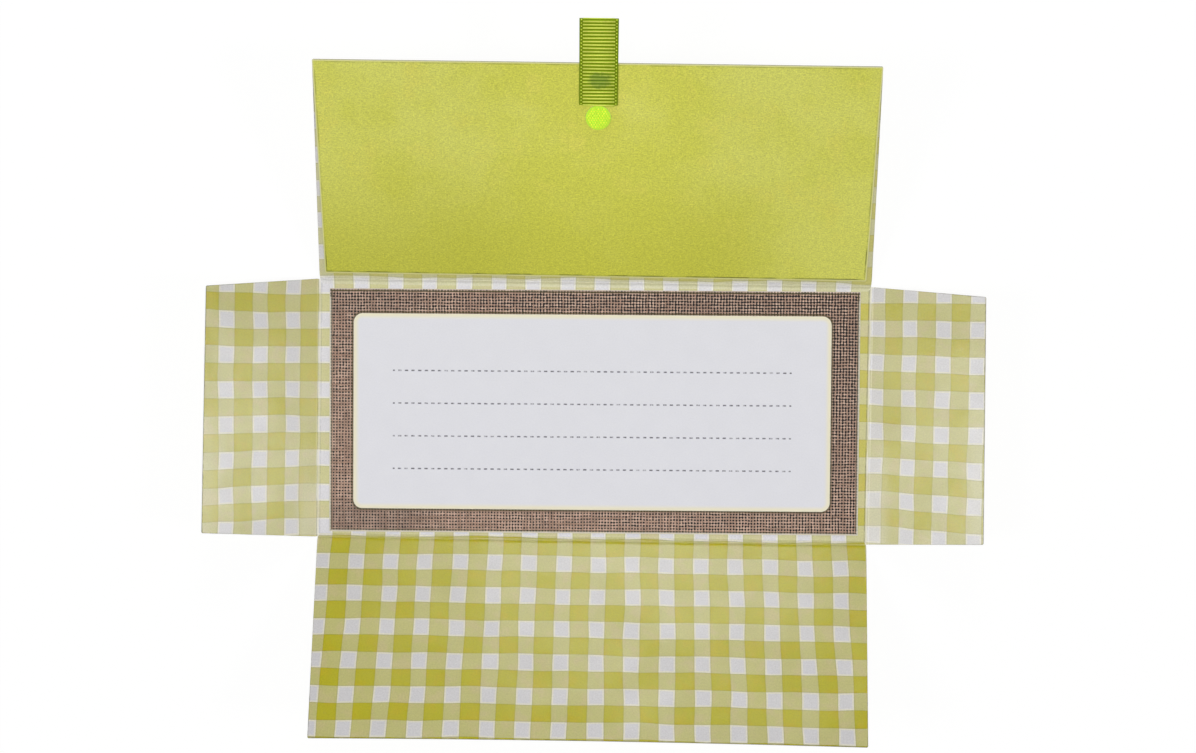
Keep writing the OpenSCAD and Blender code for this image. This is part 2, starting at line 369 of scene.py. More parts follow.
    def relief(self, height: object, depth: float, under: object = None,
               strength: float = 1.0) -> Socket:
        """Turns a height into a bent surface direction.

        Args:
            height: The height, from 0 to 1.
            depth: What 1 stands for, in metres.
            under: Direction from a coarser relief that this one lies on.
            strength: How much of it shows.

        Returns:
            The direction.
        """
        feeds = {"Height": height, "Distance": depth, "Strength": strength}
        if under is not None:
            feeds["Normal"] = under
        return self.add("ShaderNodeBump", feeds).outputs[0]

    def surface(self, **feeds: object) -> bpy.types.Material:
        """Closes the recipe with one surface shader.

        Args:
            **feeds: The shader's inputs, with underscores for spaces.

        Returns:
            The finished material.
        """
        named = {name.replace("_", " "): value for name, value in feeds.items()}
        shader = self.add("ShaderNodeBsdfPrincipled", named)
        self.add("ShaderNodeOutputMaterial", {"Surface": shader.outputs[0]})
        return self.material


class RowTree(Bench):
    """A bench for a Geometry Nodes tree with named inputs, which sets copies on points."""

    KINDS = ((bool, "Bool"), (int, "Int"), (float, "Float"), (bpy.types.Material, "Material"))

    def __init__(self, name: str, values: Mapping[str, object]) -> None:
        """Makes the tree with one named input for each value.

        Args:
            name: The tree's name.
            values: The value of each input; Seed and Finish are among them.
        """
        super().__init__(bpy.data.node_groups.new(name, "GeometryNodeTree"))
        face = self.tree.interface
        face.new_socket("Geometry", in_out="INPUT", socket_type="NodeSocketGeometry")
        self.values = {}
        for label, value in values.items():
            kind = next(kind for form, kind in self.KINDS if isinstance(value, form))
            socket = face.new_socket(label, in_out="INPUT", socket_type=f"NodeSocket{kind}")
            self.values[socket.identifier] = value
        face.new_socket("Geometry", in_out="OUTPUT", socket_type="NodeSocketGeometry")
        self.given = self.add("NodeGroupInput").outputs

    def lay(self, name: str, mesh: bpy.types.Mesh, copies: Mapping[str, object],
            tones: Point2) -> Piece:
        """Sets the copies, gives each its tone, and keeps the result as a plain mesh.

        Args:
            name: The piece's name.
            mesh: What the tree starts from.
            copies: The points, the copy, and its turn and size.
            tones: Least and greatest tone of a copy.

        Returns:
            The finished object.
        """
        laid = self.add("GeometryNodeInstanceOnPoints", copies)
        change = self.add("FunctionNodeRandomValue", {2: tones[0], 3: tones[1],
                          "Seed": self.given["Seed"]}, data_type="FLOAT")
        toned = self.add("GeometryNodeStoreNamedAttribute", {"Geometry": laid,
                         "Name": "tone", "Value": change.outputs[1]}, data_type="FLOAT",
                         domain="INSTANCE")
        solid = self.add("GeometryNodeRealizeInstances", {0: toned})
        smooth = self.add("GeometryNodeSetShadeSmooth", {"Geometry": solid})
        dyed = self.add("GeometryNodeSetMaterial", {"Geometry": smooth,
                        "Material": self.given["Finish"]})
        self.add("NodeGroupOutput", {0: dyed})
        piece = linked(name, mesh)
        layer = piece.modifiers.new("lay", "NODES")
        layer.node_group = self.tree
        for identifier, value in self.values.items():
            layer[identifier] = value
        ready = piece.evaluated_get(bpy.context.evaluated_depsgraph_get())
        result = bpy.data.meshes.new_from_object(ready)
        piece.modifiers.clear()
        piece.data = result
        result.name = name
        return piece


@dataclass(frozen=True)
class Finish:
    """A finish of one material slot, mixed once and then shared.

    Attributes:
        name: The material's name.
        slot: The slot that it belongs to; not used.
    """

    name: str
    slot: str

    def material(self) -> bpy.types.Material:
        """Gives the material, mixed at its first use."""
        return bpy.data.materials.get(self.name) or self.mix(Shades(self.name))

    def mix(self, shades: Shades) -> bpy.types.Material:
        """Mixes the material.

        Args:
            shades: An empty bench.

        Returns:
            The finished material.
        """
        raise NotImplementedError


@dataclass(frozen=True)
class CheckPrint(Finish):
    """A two-way check printed on satin card, with painted edge shade along the cut rim, painted
    sheen where the side flaps pale, and painted shade and a pale crest along the scores.

    Attributes:
        period: Distance between like stripes.
        columns: Place of one upright stripe's middle.
        rows: Place of one level stripe's middle.
        column_half: Half the width of an upright stripe.
        row_half: Half the height of a level stripe.
        ground: Bare card.
        halo: Bare card beside a stripe.
        single: Where one stripe lies.
        single_warm: The same in the warmer patches.
        double: Where two stripes cross.
        double_warm: The same in the warmer patches.
        fibre: Rubbed card, also laid on the side flaps as painted sheen.
        scored: Whether the piece carries its distance from a score.
        base_shade: How dark the painted shade on the score's flank is, on the back panel's side.
        leaf_shade: How dark it is on the leaf's side.
        wear: How pale the score's crest is, as rubbed card and painted sheen.
        base_flank: Where the flank on the back panel's side runs, from the score's middle.
        leaf_flank: The same on the leaf's side.
        crest_at: The same for the crest.
        fold_x: Distance of the side flaps' folds from the sheet's middle.
    """

    period: float = 11.25
    columns: float = -3.37
    rows: float = 0.62
    column_half: float = 3.08
    row_half: float = 2.88
    ground: Colour = ink(210, 208, 210)
    halo: Colour = ink(228, 223, 202)
    single: Colour = ink(192, 188, 120)
    single_warm: Colour = ink(200, 186, 136)
    double: Colour = ink(184, 177, 20)
    double_warm: Colour = ink(193, 174, 22)
    fibre: Colour = ink(228, 224, 206)
    scored: bool = False
    base_shade: float = 0.0
    leaf_shade: float = 0.0
    wear: float = 0.0
    base_flank: float = -0.6
    leaf_flank: float = 0.3
    crest_at: float = -0.15
    fold_x: float = 90.0

    def mix(self, shades: Shades) -> bpy.types.Material:
        """Mixes the printed card.

        Args:
            shades: An empty bench.

        Returns:
            The finished material.
        """
        sheet = shades.sheet()
        x, y = shades.split(shades.wandered(sheet, 0.05, 1.0, 1.6))
        upright, upright_rim, upright_glow = self.stripe(shades, x, self.columns, self.column_half)
        level, level_rim, level_glow = self.stripe(shades, y, self.rows, self.row_half)
        inks = shades.math("ADD", upright, level)
        patch = shades.noise(sheet, 0.16, 3.0, 0.6)
        warm = shades.blur(patch, 0.46, 0.66, 0.0, 0.55)
        single = shades.blend(warm, self.single, self.single_warm)
        double = shades.blend(warm, self.double, self.double_warm)
        colour = shades.blend(inks, self.ground, single)
        both = shades.times(upright, level)
        colour = shades.blend(both, colour, double)
        rims = shades.math("MAXIMUM", upright_rim, level_rim)
        glow = shades.times(shades.math("MAXIMUM", upright_glow, level_glow),
                            shades.math("SUBTRACT", 1.0, shades.math("MINIMUM", inks, 1.0)))
        colour = shades.blend(glow, colour, self.halo)
        # The side flaps pale towards their folds and free edges: painted sheen in the rubbed-card
        # colour.
        colour = shades.blend(self.painted_sheen(shades, sheet), colour, self.fibre)
        cloud = shades.noise(sheet, 0.09, 3.0)
        grain = shades.noise(sheet, 1.9, 3.0, 0.7)
        value = shades.times(shades.spread(cloud, 0.97, 1.03), shades.spread(grain, 0.9, 1.1))
        value = shades.times(value, shades.math("MULTIPLY_ADD", rims, -0.15, 1.0))
        # Darker along the cut rim: painted edge shade.
        worn = shades.times(shades.blur(shades.stored("rim"), 0.1, 0.7),
                            shades.spread(shades.noise(sheet, 0.5, 3.0), -0.08, -0.6))
        value = shades.times(value, shades.math("ADD", worn, 1.0))
        colour = shades.tone(colour, value)
        height = shades.noise(sheet, 0.035, 1.0)
        if self.scored:
            colour = self.score(shades, sheet, colour)
        felt = shades.noise(sheet, 1.1, 4.0, 0.7)
        bent = shades.relief(felt, 45e-6, shades.relief(height, 0.5e-3))
        gloss = shades.spread(shades.noise(sheet, 0.22, 4.0, 0.65), 0.2, 0.25)
        return shades.surface(Base_Color=colour, Roughness=gloss, Normal=bent, IOR=1.46)

    def painted_sheen(self, shades: Shades, sheet: object) -> Socket:
        """Gives the painted sheen that pales the print at the side flaps' folds and free edges.

        Args:
            shades: The bench.
            sheet: Point on the flat sheet.

        Returns:
            The share of the pale colour laid over the print.
        """
        x, y = shades.split(sheet)
        out = shades.math("SUBTRACT", shades.math("ABSOLUTE", x), self.fold_x)
        root = shades.times(shades.blur(out, -0.6, 0.0), shades.blur(out, 4.0, 9.5, 1.0, 0.0))
        root = shades.times(root, shades.blur(y, -36.0, 2.0, 0.34, 0.04))
        edge = shades.times(shades.blur(out, 31.0, 38.0), shades.blur(y, -16.0, 12.0, 0.2, 0.0))
        return shades.math("ADD", root, edge)

    def stripe(self, shades: Shades, across: object, middle: float,
               half: float) -> tuple[Socket, ...]:
        """Draws the stripes of one direction.

        Args:
            shades: The bench.
            across: Place across the stripes.
            middle: Middle of one stripe.
            half: Half a stripe's width.

        Returns:
            The cover of the ink, the fine dark line just inside each side of a stripe, and the
            pale line just outside it.
        """
        place = shades.math("SUBTRACT", across, middle)
        off = shades.math("PINGPONG", place, self.period / 2)
        cover = shades.blur(off, half - 0.09, half + 0.09, 1.0, 0.0)
        return (cover, shades.band(off, half - 0.14, 0.14, 0.2),
                shades.band(off, half + 0.24, 0.22, 0.26, 0.85))

    def score(self, shades: Shades, sheet: object, colour: object) -> Socket:
        """Paints shade on the two flanks of a score, and pales its crest as rubbed card and
        painted sheen.

        Args:
            shades: The bench.
            sheet: Point on the flat sheet.
            colour: The print.

        Returns:
            The print, with painted shade on the flanks and a pale crest.
        """
        score = shades.stored("score")
        ragged = shades.noise(sheet, 0.32, 4.0, 0.65)
        # Painted shade on the score's two flanks.
        for middle, dark in ((self.base_flank, self.base_shade), (self.leaf_flank, self.leaf_shade)):
            flank = shades.band(score, middle, 0.13, 0.16)
            broken = shades.blur(ragged, 0.34, 0.52, 0.25, 1.0)
            depth = shades.times(shades.times(flank, broken), -dark)
            colour = shades.tone(colour, shades.math("ADD", depth, 1.0))
        # The crest pales: partly rubbed card, partly painted sheen.
        crest = shades.times(shades.band(score, self.crest_at, 0.26, 0.4, self.wear),
                             shades.blur(ragged, 0.3, 0.6, 0.3, 1.0))
        return shades.blend(crest, colour, self.fibre)


@dataclass(frozen=True)
class MottledLime(Finish):
    """A lime sheet with soft clouds and a fibre grain, painted shade towards the fold, a painted
    highlight down the middle, painted sheen towards the sides and painted edge shade inside its
    rim.

    Attributes:
        shade: Colour between the clouds.
        cloud: Colour of the clouds.
        tint: Colour of the few warm patches.
        fold_shade: Colour of the painted shade towards the fold.
        fold: Sheet coordinate at which the painted shade is full.
        open: Sheet coordinate at which it is gone.
    """

    shade: Colour = ink(216, 217, 86)
    cloud: Colour = ink(225, 226, 108)
    tint: Colour = ink(227, 221, 100)
    fold_shade: Colour = ink(200, 200, 66)
    fold: float = 44.0
    open: float = 92.0

    def mix(self, shades: Shades) -> bpy.types.Material:
        """Mixes the lime sheet.

        Args:
            shades: An empty bench.

        Returns:
            The finished material.
        """
        sheet = shades.sheet()
        x, y = shades.split(sheet)
        swirl = shades.noise(sheet, 0.028, 5.0, 0.62)
        patch = shades.noise(sheet, 0.075, 4.0, 0.6)
        # The cloud colour gains towards the sides: painted sheen.
        aside = shades.math("MULTIPLY_ADD", shades.math("ABSOLUTE", x), 0.0022, -0.1)
        colour = shades.blend(shades.blur(shades.math("ADD", swirl, aside), 0.36, 0.64),
                              self.shade, self.cloud)
        colour = shades.blend(shades.blur(patch, 0.5, 0.72, 0.0, 0.6), colour, self.tint)
        # Darker towards the fold, on the left and in the middle: painted shade.
        near = shades.times(shades.blur(y, self.fold, self.open, 0.8, 0.0),
                            shades.blur(x, 25.0, 75.0, 1.0, 0.15))
        colour = shades.blend(near, colour, self.fold_shade)
        fleck = shades.noise(shades.scaled(sheet, (1.0, 2.2, 1.0), 24.0), 1.0, 3.0, 0.7)
        grain = shades.noise(sheet, 2.2, 3.0, 0.7)
        coarse = shades.noise(sheet, 0.6, 4.0, 0.7)
        value = shades.times(shades.spread(fleck, 0.88, 1.12), shades.spread(grain, 0.82, 1.18))
        value = shades.times(value, shades.spread(coarse, 0.94, 1.06))
        # Lighter down the middle: a painted highlight.
        aside = shades.math("ABSOLUTE", shades.math("SUBTRACT", x, 2.0))
        value = shades.times(value, shades.blur(aside, 8.0, 52.0, 1.1, 1.02))
        colour = shades.tone(colour, value)
        # A dark ragged line inside the rim, stronger towards the fold, is painted edge shade; the
        # pale band at the very rim is the bare edge with a painted highlight.
        rim = shades.stored("rim")
        ragged = shades.blur(shades.noise(sheet, 0.12, 3.0), 0.4, 0.6, 0.12, 0.5)
        line = shades.times(shades.band(rim, 0.34, 0.24, 0.2), ragged)
        line = shades.times(line, shades.blur(y, self.fold, self.open, 1.5, 0.7))
        colour = shades.blend(line, colour, ink(84, 88, 34))
        colour = shades.blend(shades.blur(rim, 0.5, 0.75, 0.0, 0.75), colour, ink(232, 230, 168))
        felt = shades.relief(grain, 30e-6)
        gloss = shades.spread(shades.noise(sheet, 0.3, 3.0), 0.5, 0.62)
        return shades.surface(Base_Color=colour, Roughness=gloss, Normal=felt, IOR=1.45)


@dataclass(frozen=True)
class BurlapPrint(Finish):
    """A coarse plain weave, printed flat on satin stock, with a dark ring round the label, painted
    edge shade along its rim and a bare rim.

    Attributes:
        pitch: Distance between neighbouring threads.
        thread: Colour of the threads.
        pale: Colour of the palest threads.
        hole: Colour of the gaps between them.
        key: Colour of the dark ring round the label and of the painted edge shade at the rim.
        label: Half width, half height and corner radius of the label.
        label_at: Where the label's middle lies on the mat.
    """

    pitch: float = 0.98
    thread: Colour = ink(171, 138, 119)
    pale: Colour = ink(210, 178, 158)
    hole: Colour = ink(6, 2, 0)
    key: Colour = ink(74, 64, 26)
    label: tuple[float, float, float] = (*LABEL_HALF, LABEL_CORNER)
    label_at: Point2 = LABEL_SHIFT

    def mix(self, shades: Shades) -> bpy.types.Material:
        """Mixes the burlap print.

        Args:
            shades: An empty bench.

        Returns:
            The finished material.
        """
        sheet = shades.sheet()
        x, y = shades.split(shades.wandered(sheet, 0.3, 2.0, 0.5))
        waves = [shades.math("COSINE", shades.times(way, math.tau / self.pitch)) for way in (x, y)]
        crate = shades.times(shades.math("ADD", *waves), 0.5)
        warp = shades.noise(shades.scaled(sheet, (1.0, 0.05, 1.0)), 0.9, 2.0)
        weft = shades.noise(shades.scaled(sheet, (0.05, 1.0, 1.0)), 0.9, 2.0)
        knots = shades.noise(sheet, 1.0, 1.0)
        level = shades.spread(knots, 0.38, -0.16)
        for lines in (warp, weft):
            level = shades.math("ADD", level, shades.spread(lines, 0.12, -0.12))
        plain_x, plain_y = shades.split(sheet)
        level = shades.math("MULTIPLY_ADD", plain_x, -0.0013, level)
        level = shades.math("MULTIPLY_ADD", plain_y, -0.003, level)
        depth = shades.math("SUBTRACT", crate, level)
        dark = shades.blur(depth, -0.06, 0.08)
        slub = shades.times(shades.blur(warp, 0.3, 0.7), shades.blur(weft, 0.3, 0.7))
        colour = shades.blend(shades.times(slub, 2.0), self.thread, self.pale)
        tint = shades.noise(sheet, 0.35, 3.0, 0.6)
        colour = shades.tone(colour, shades.spread(tint, 0.8, 1.14))
        colour = shades.tone(colour, self.soiling(shades, plain_x, plain_y))
        colour = shades.blend(dark, colour, self.hole)
        beside = shades.from_rim(shades.math("SUBTRACT", plain_x, self.label_at[0]),
                                 shades.math("SUBTRACT", plain_y, self.label_at[1]), *self.label)
        ring = shades.times(shades.band(beside, 0.36, 0.3, 0.24),
                            shades.blur(crate, -0.5, 0.4, 0.55, 1.0))
        colour = shades.blend(ring, colour, self.key)
        # A dark line along the rim is painted edge shade, strongest along the top as painted
        # shadow; the pale bare rim is dimmed along the top by the same painted shadow.
        rim = shades.stored("rim")
        top = shades.blur(plain_y, 36.0, 38.0)
        line = shades.times(shades.band(rim, 0.33, 0.2, 0.14),
                            shades.math("MULTIPLY_ADD", top, 0.35, 0.6))
        colour = shades.blend(line, colour, self.key)
        bare = shades.times(shades.blur(rim, 0.52, 0.66),
                            shades.math("MULTIPLY_ADD", top, -0.45, 0.6))
        colour = shades.blend(bare, colour, ink(240, 238, 218))
        felt = shades.noise(sheet, 5.0, 2.0)
        return shades.surface(Base_Color=colour, Roughness=0.5, IOR=1.45,
                              Normal=shades.relief(felt, 10e-6))

    def soiling(self, shades: Shades, x: object, y: object) -> Socket:
        """Gives the slow change of tone from the dull left corners to the clean upper right.

        Args:
            shades: The bench.
            x: Place across the mat.
            y: Place up the mat.

        Returns:
            The tone.
        """
        strips = shades.blur(shades.math("ABSOLUTE", y), 27.0, 34.0)
        left = shades.times(shades.blur(x, -64.0, -46.0, 1.0, 0.0), strips)
        dull = shades.times(left, shades.blur(y, -20.0, 20.0, -0.27, -0.1))
        clean = shades.times(shades.blur(x, 54.0, 68.0), shades.blur(y, 24.0, 36.0))
        return shades.math("ADD", shades.math("MULTIPLY_ADD", clean, 0.1, 1.0), dull)


@dataclass(frozen=True)
class WritingStock(Finish):
    """White writing stock with a lime keyline round it and rows of dashes.

    Attributes:
        half_w: Half the label's width.
        half_h: Half its height.
        corner: Radius of its corners.
        key: Width of the lime keyline.
        first_row: Height of the top row above the middle.
        row_pitch: Distance between rows.
        rows: Number of rows.
        row_half: Half the length of a row.
        dash_pitch: Distance between dashes.
        dash: Length of a dash.
        dash_h: Height of a dash.
        white: Bare stock.
        lime: The keyline.
        grey: The dashes.
    """

    half_w: float = LABEL_HALF[0]
    half_h: float = LABEL_HALF[1]
    corner: float = LABEL_CORNER
    key: float = 0.95
    first_row: float = 13.38
    row_pitch: float = 10.72
    rows: int = 4
    row_half: float = 65.2
    dash_pitch: float = 2.17
    dash: float = 1.1
    dash_h: float = 0.42
    white: Colour = ink(236, 236, 243)
    lime: Colour = ink(247, 240, 213)
    grey: Colour = ink(112, 110, 120)

    def mix(self, shades: Shades) -> bpy.types.Material:
        """Mixes the label stock.

        Args:
            shades: An empty bench.

        Returns:
            The finished material.
        """
        sheet = shades.sheet()
        x, y = shades.split(sheet)
        rim = shades.from_rim(x, y, self.half_w, self.half_h, self.corner)
        lime = shades.blur(rim, -self.key - 1.1, -self.key + 0.5)
        linen = shades.noise(sheet, 2.0, 3.0, 0.65)
        cloud = shades.noise(sheet, 0.12, 3.0)
        value = shades.times(shades.spread(linen, 0.975, 1.02), shades.spread(cloud, 0.99, 1.01))
        colour = shades.tone(self.white, value)
        colour = shades.blend(self.dashes(shades, sheet, x, y), colour, self.grey)
        colour = shades.blend(lime, colour, self.lime)
        return shades.surface(Base_Color=colour, Roughness=0.56, IOR=1.45,
                              Normal=shades.relief(linen, 14e-6))

    def dashes(self, shades: Shades, sheet: object, x: object, y: object) -> Socket:
        """Draws the rows of dashes, a little broken as a fine screen prints them.

        Args:
            shades: The bench.
            sheet: Point on the label.
            x: Place across the label.
            y: Place up the label.

        Returns:
            The cover of the ink.
        """
        middle = self.first_row - self.row_pitch * (self.rows - 1) / 2
        from_row = shades.math("PINGPONG", shades.math("SUBTRACT", y, self.first_row),
                               self.row_pitch / 2)
        row = shades.blur(from_row, self.dash_h / 2 - 0.05, self.dash_h / 2 + 0.09, 1.0, 0.0)
        off = shades.math("ABSOLUTE", shades.math("SUBTRACT", y, middle))
        row = shades.times(row, shades.math("LESS_THAN", off, self.row_pitch * self.rows / 2))
        from_dash = shades.math("PINGPONG", x, self.dash_pitch / 2)
        dash = shades.blur(from_dash, self.dash / 2 - 0.08, self.dash / 2 + 0.08, 1.0, 0.0)
        within = shades.math("LESS_THAN", shades.math("ABSOLUTE", x), self.row_half)
        dash = shades.times(dash, within)
        broken = shades.blur(shades.noise(sheet, 1.1, 2.0), 0.34, 0.56, 0.4, 1.0)
        return shades.times(shades.times(row, dash), broken)


@dataclass(frozen=True)
class CutEdge(Finish):
    """The pale core of card or paper, where the die has cut it.

    Attributes:
        core: Colour of the fibres.
    """

    core: Colour = ink(150, 148, 120)

    def mix(self, shades: Shades) -> bpy.types.Material:
        """Mixes the cut edge.

        Args:
            shades: An empty bench.

        Returns:
            The finished material.
        """
        place = shades.solid()
        ply = shades.noise(shades.scaled(place, (1.0, 1.0, 6.0)), 1500.0, 3.0, 0.6)
        colour = shades.tone(self.core, shades.spread(ply, 0.92, 1.05))
        return shades.surface(Base_Color=colour, Roughness=0.85, Normal=shades.relief(ply, 25e-6))


@dataclass(frozen=True)
class Grosgrain(Finish):
    """The silky thread of the ribbon.

    Attributes:
        thread: Colour of the thread.
        crest: Painted highlight along the crest of a rib.
        shadow: Colour where it sinks between the ribs.
        soaked: Colour where the glue has soaked through.
        patch: Middle and half size of that patch, seen from above.
        sunk: Whether the piece is the web between the ribs.
    """

    thread: Colour = ink(200, 232, 20)
    crest: Colour = ink(250, 255, 120)
    shadow: Colour = ink(126, 152, 4)
    soaked: Colour = ink(90, 130, 44)
    patch: tuple[float, float, float, float] = (0.8, 104.0, 3.8, 2.6)
    sunk: bool = False

    def mix(self, shades: Shades) -> bpy.types.Material:
        """Mixes the ribbon's thread.

        Args:
            shades: An empty bench.

        Returns:
            The finished material.
        """
        above = shades.millimetres()
        sheet = shades.sheet() if self.sunk else above
        x, _ = shades.split(sheet)
        yarn = shades.math("PINGPONG", x, 0.09)
        yarn = shades.blur(yarn, 0.0, 0.09)
        fibre = shades.noise(shades.scaled(sheet, (6.0, 0.7, 0.7)), 1.0, 3.0, 0.6)
        colour = self.shadow
        if not self.sunk:
            # The crest of each rib carries the painted highlight.
            colour = shades.blend(shades.blur(shades.stored("crest"), 0.37, 0.48),
                                  self.thread, self.crest)
        value = shades.times(shades.spread(fibre, 0.9, 1.08),
                             shades.math("MULTIPLY_ADD", yarn, 0.16, 0.9))
        if not self.sunk:
            value = shades.times(value, shades.stored("tone"))
        wide, high = shades.split(above)
        off = [shades.math("DIVIDE", shades.math("SUBTRACT", way, self.patch[k]),
                           self.patch[k + 2]) for k, way in enumerate((wide, high))]
        off = shades.math("MULTIPLY_ADD", off[0], off[0], shades.times(off[1], off[1]))
        edge = shades.spread(shades.noise(above, 0.8, 3.0), -0.35, 0.35)
        soak = shades.blur(shades.math("ADD", off, edge), 0.2, 1.3, 0.6, 0.0)
        colour = shades.tone(shades.blend(soak, colour, self.soaked), value)
        return shades.surface(Base_Color=colour, Roughness=0.45, Normal=shades.relief(yarn, 30e-6),
                              Specular_IOR_Level=0.2)


@dataclass(frozen=True)
class PilePlastic(Finish):
    """Dyed nylon of a closure dot, in its ground or in its hooks and loops.

    Attributes:
        dye: The nylon's colour.
        ground: Whether the piece is the woven ground.
        rough: Roughness of the surface.
        glow: How brightly the nylon glows by itself: painted light that lifts the fluorescent dye
            and its shaded hooks and loops.
    """

    dye: Colour = ink(222, 246, 62)
    ground: bool = False
    rough: float = 0.38
    glow: float = 0.28

    def mix(self, shades: Shades) -> bpy.types.Material:
        """Mixes the nylon.

        Args:
            shades: An empty bench.

        Returns:
            The finished material.
        """
        place = shades.millimetres()
        fibre = shades.noise(place, 2.4, 3.0, 0.6)
        value = shades.spread(fibre, 0.9, 1.06)
        bent = shades.relief(fibre, 20e-6)
        if self.ground:
            x, y = shades.split(place)
            weave = shades.times(shades.blur(shades.math("PINGPONG", x, 0.15), 0.0, 0.15),
                                 shades.blur(shades.math("PINGPONG", y, 0.15), 0.0, 0.15))
            value = shades.times(value, shades.math("MULTIPLY_ADD", weave, 0.2, 0.84))
            bent = shades.relief(weave, 40e-6)
        else:
            value = shades.times(value, shades.stored("tone"))
        colour = shades.tone(self.dye, value)
        # The emission is painted light: the nylon glows though it is no lamp.
        return shades.surface(Base_Color=colour, Roughness=self.rough, Normal=bent,
                              Emission_Color=colour, Emission_Strength=self.glow,
                              Subsurface_Weight=0.15, Subsurface_Radius=(0.3, 0.4, 0.1),
                              Subsurface_Scale=MM)


@dataclass(frozen=True)
class TapeFilm(Finish):
    """Clear adhesive film, a little milky where the glue has caught air.

    Attributes:
        film: Its colour.
        milky: Colour of the caught air.
    """

    film: Colour = ink(214, 208, 178)
    milky: Colour = ink(236, 234, 224)

    def mix(self, shades: Shades) -> bpy.types.Material:
        """Mixes the film.

        Args:
            shades: An empty bench.

        Returns:
            The finished material.
        """
        place = shades.millimetres()
        air = shades.noise(place, 0.8, 4.0, 0.7)
        colour = shades.blend(shades.blur(air, 0.45, 0.6), self.film, self.milky)
        return shades.surface(Base_Color=colour, Roughness=shades.spread(air, 0.12, 0.3),
                              Normal=shades.relief(air, 20e-6), Transmission_Weight=0.25)


class Side(Enum):
    """The four folds, by the joint that turns each."""

    LID = "lid_fold"
    POCKET = "pocket_fold"
    LEFT = "left_fold"
    RIGHT = "right_fold"


# Lighter copies of the check inks, a painted sheen: these for the back panel and the side scores,
# the next for the lid.
FLAT_SHEEN_INKS = {"ground": ink(226, 224, 228), "halo": ink(240, 236, 218),
             "single": ink(209, 205, 146), "single_warm": ink(214, 202, 158),
             "double": ink(201, 193, 76), "double_warm": ink(206, 190, 78)}
LID_SHEEN_INKS = {"ground": ink(228, 226, 226), "halo": ink(238, 235, 218),
            "single": ink(216, 213, 166), "single_warm": ink(216, 210, 164),
            "double": ink(212, 206, 124), "double_warm": ink(212, 204, 126)}
CHECK = CheckPrint("check card", "check_card")
LID_CHECK = CheckPrint("check card, lid", "check_card", **LID_SHEEN_INKS)
BASE_CHECK = CheckPrint("check card, back panel", "check_card", **FLAT_SHEEN_INKS)
CARD_BACK = MottledLime("lime card back", "check_card", fold=-400.0, open=-300.0)
CARD_EDGE = CutEdge("card edge", "check_card")
LIME = MottledLime("lime lining", "lime_sheet")
LIME_EDGE = CutEdge("lining edge", "lime_sheet", core=ink(228, 228, 176))
BURLAP = BurlapPrint("burlap print", "burlap_print")
BURLAP_EDGE = CutEdge("mat edge", "burlap_print", core=ink(236, 232, 222))
LABEL = WritingStock("writing stock", "label_stock")
LABEL_EDGE = CutEdge("label edge", "label_stock", core=ink(222, 220, 214))
RIB = Grosgrain("ribbon rib", "grosgrain")
WEB = Grosgrain("ribbon web", "grosgrain", sunk=True)
HOOKS = PilePlastic("hook nylon", "hook_tape")
HOOK_GROUND = PilePlastic("hook ground", "hook_tape", dye=ink(200, 240, 60), ground=True,
                          rough=0.55)
LOOPS = PilePlastic("loop nylon", "loop_tape", dye=ink(206, 238, 80), rough=0.6)
LOOP_GROUND = PilePlastic("loop ground", "loop_tape", dye=ink(180, 214, 52), ground=True,
                          rough=0.7)
TAPE = TapeFilm("clear tape", "double_sided_tape")
BACKING = TapeFilm("dot adhesive", "dot_adhesive", film=ink(206, 206, 190))
SCORED = {
    Side.LID: CheckPrint("check card, lid score", "check_card", scored=True, base_shade=0.1,
                         leaf_shade=0.2, wear=0.1, **LID_SHEEN_INKS),
    Side.POCKET: CheckPrint("check card, pocket score", "check_card", scored=True,
                            base_shade=0.05, leaf_shade=0.24, wear=0.15),
    Side.LEFT: CheckPrint("check card, left score", "check_card", scored=True, base_shade=0.24,
                          leaf_shade=0.2, wear=0.3, **FLAT_SHEEN_INKS),
    Side.RIGHT: CheckPrint("check card, right score", "check_card", scored=True, base_shade=0.55,
                           leaf_shade=0.05, wear=0.5, **FLAT_SHEEN_INKS),
}


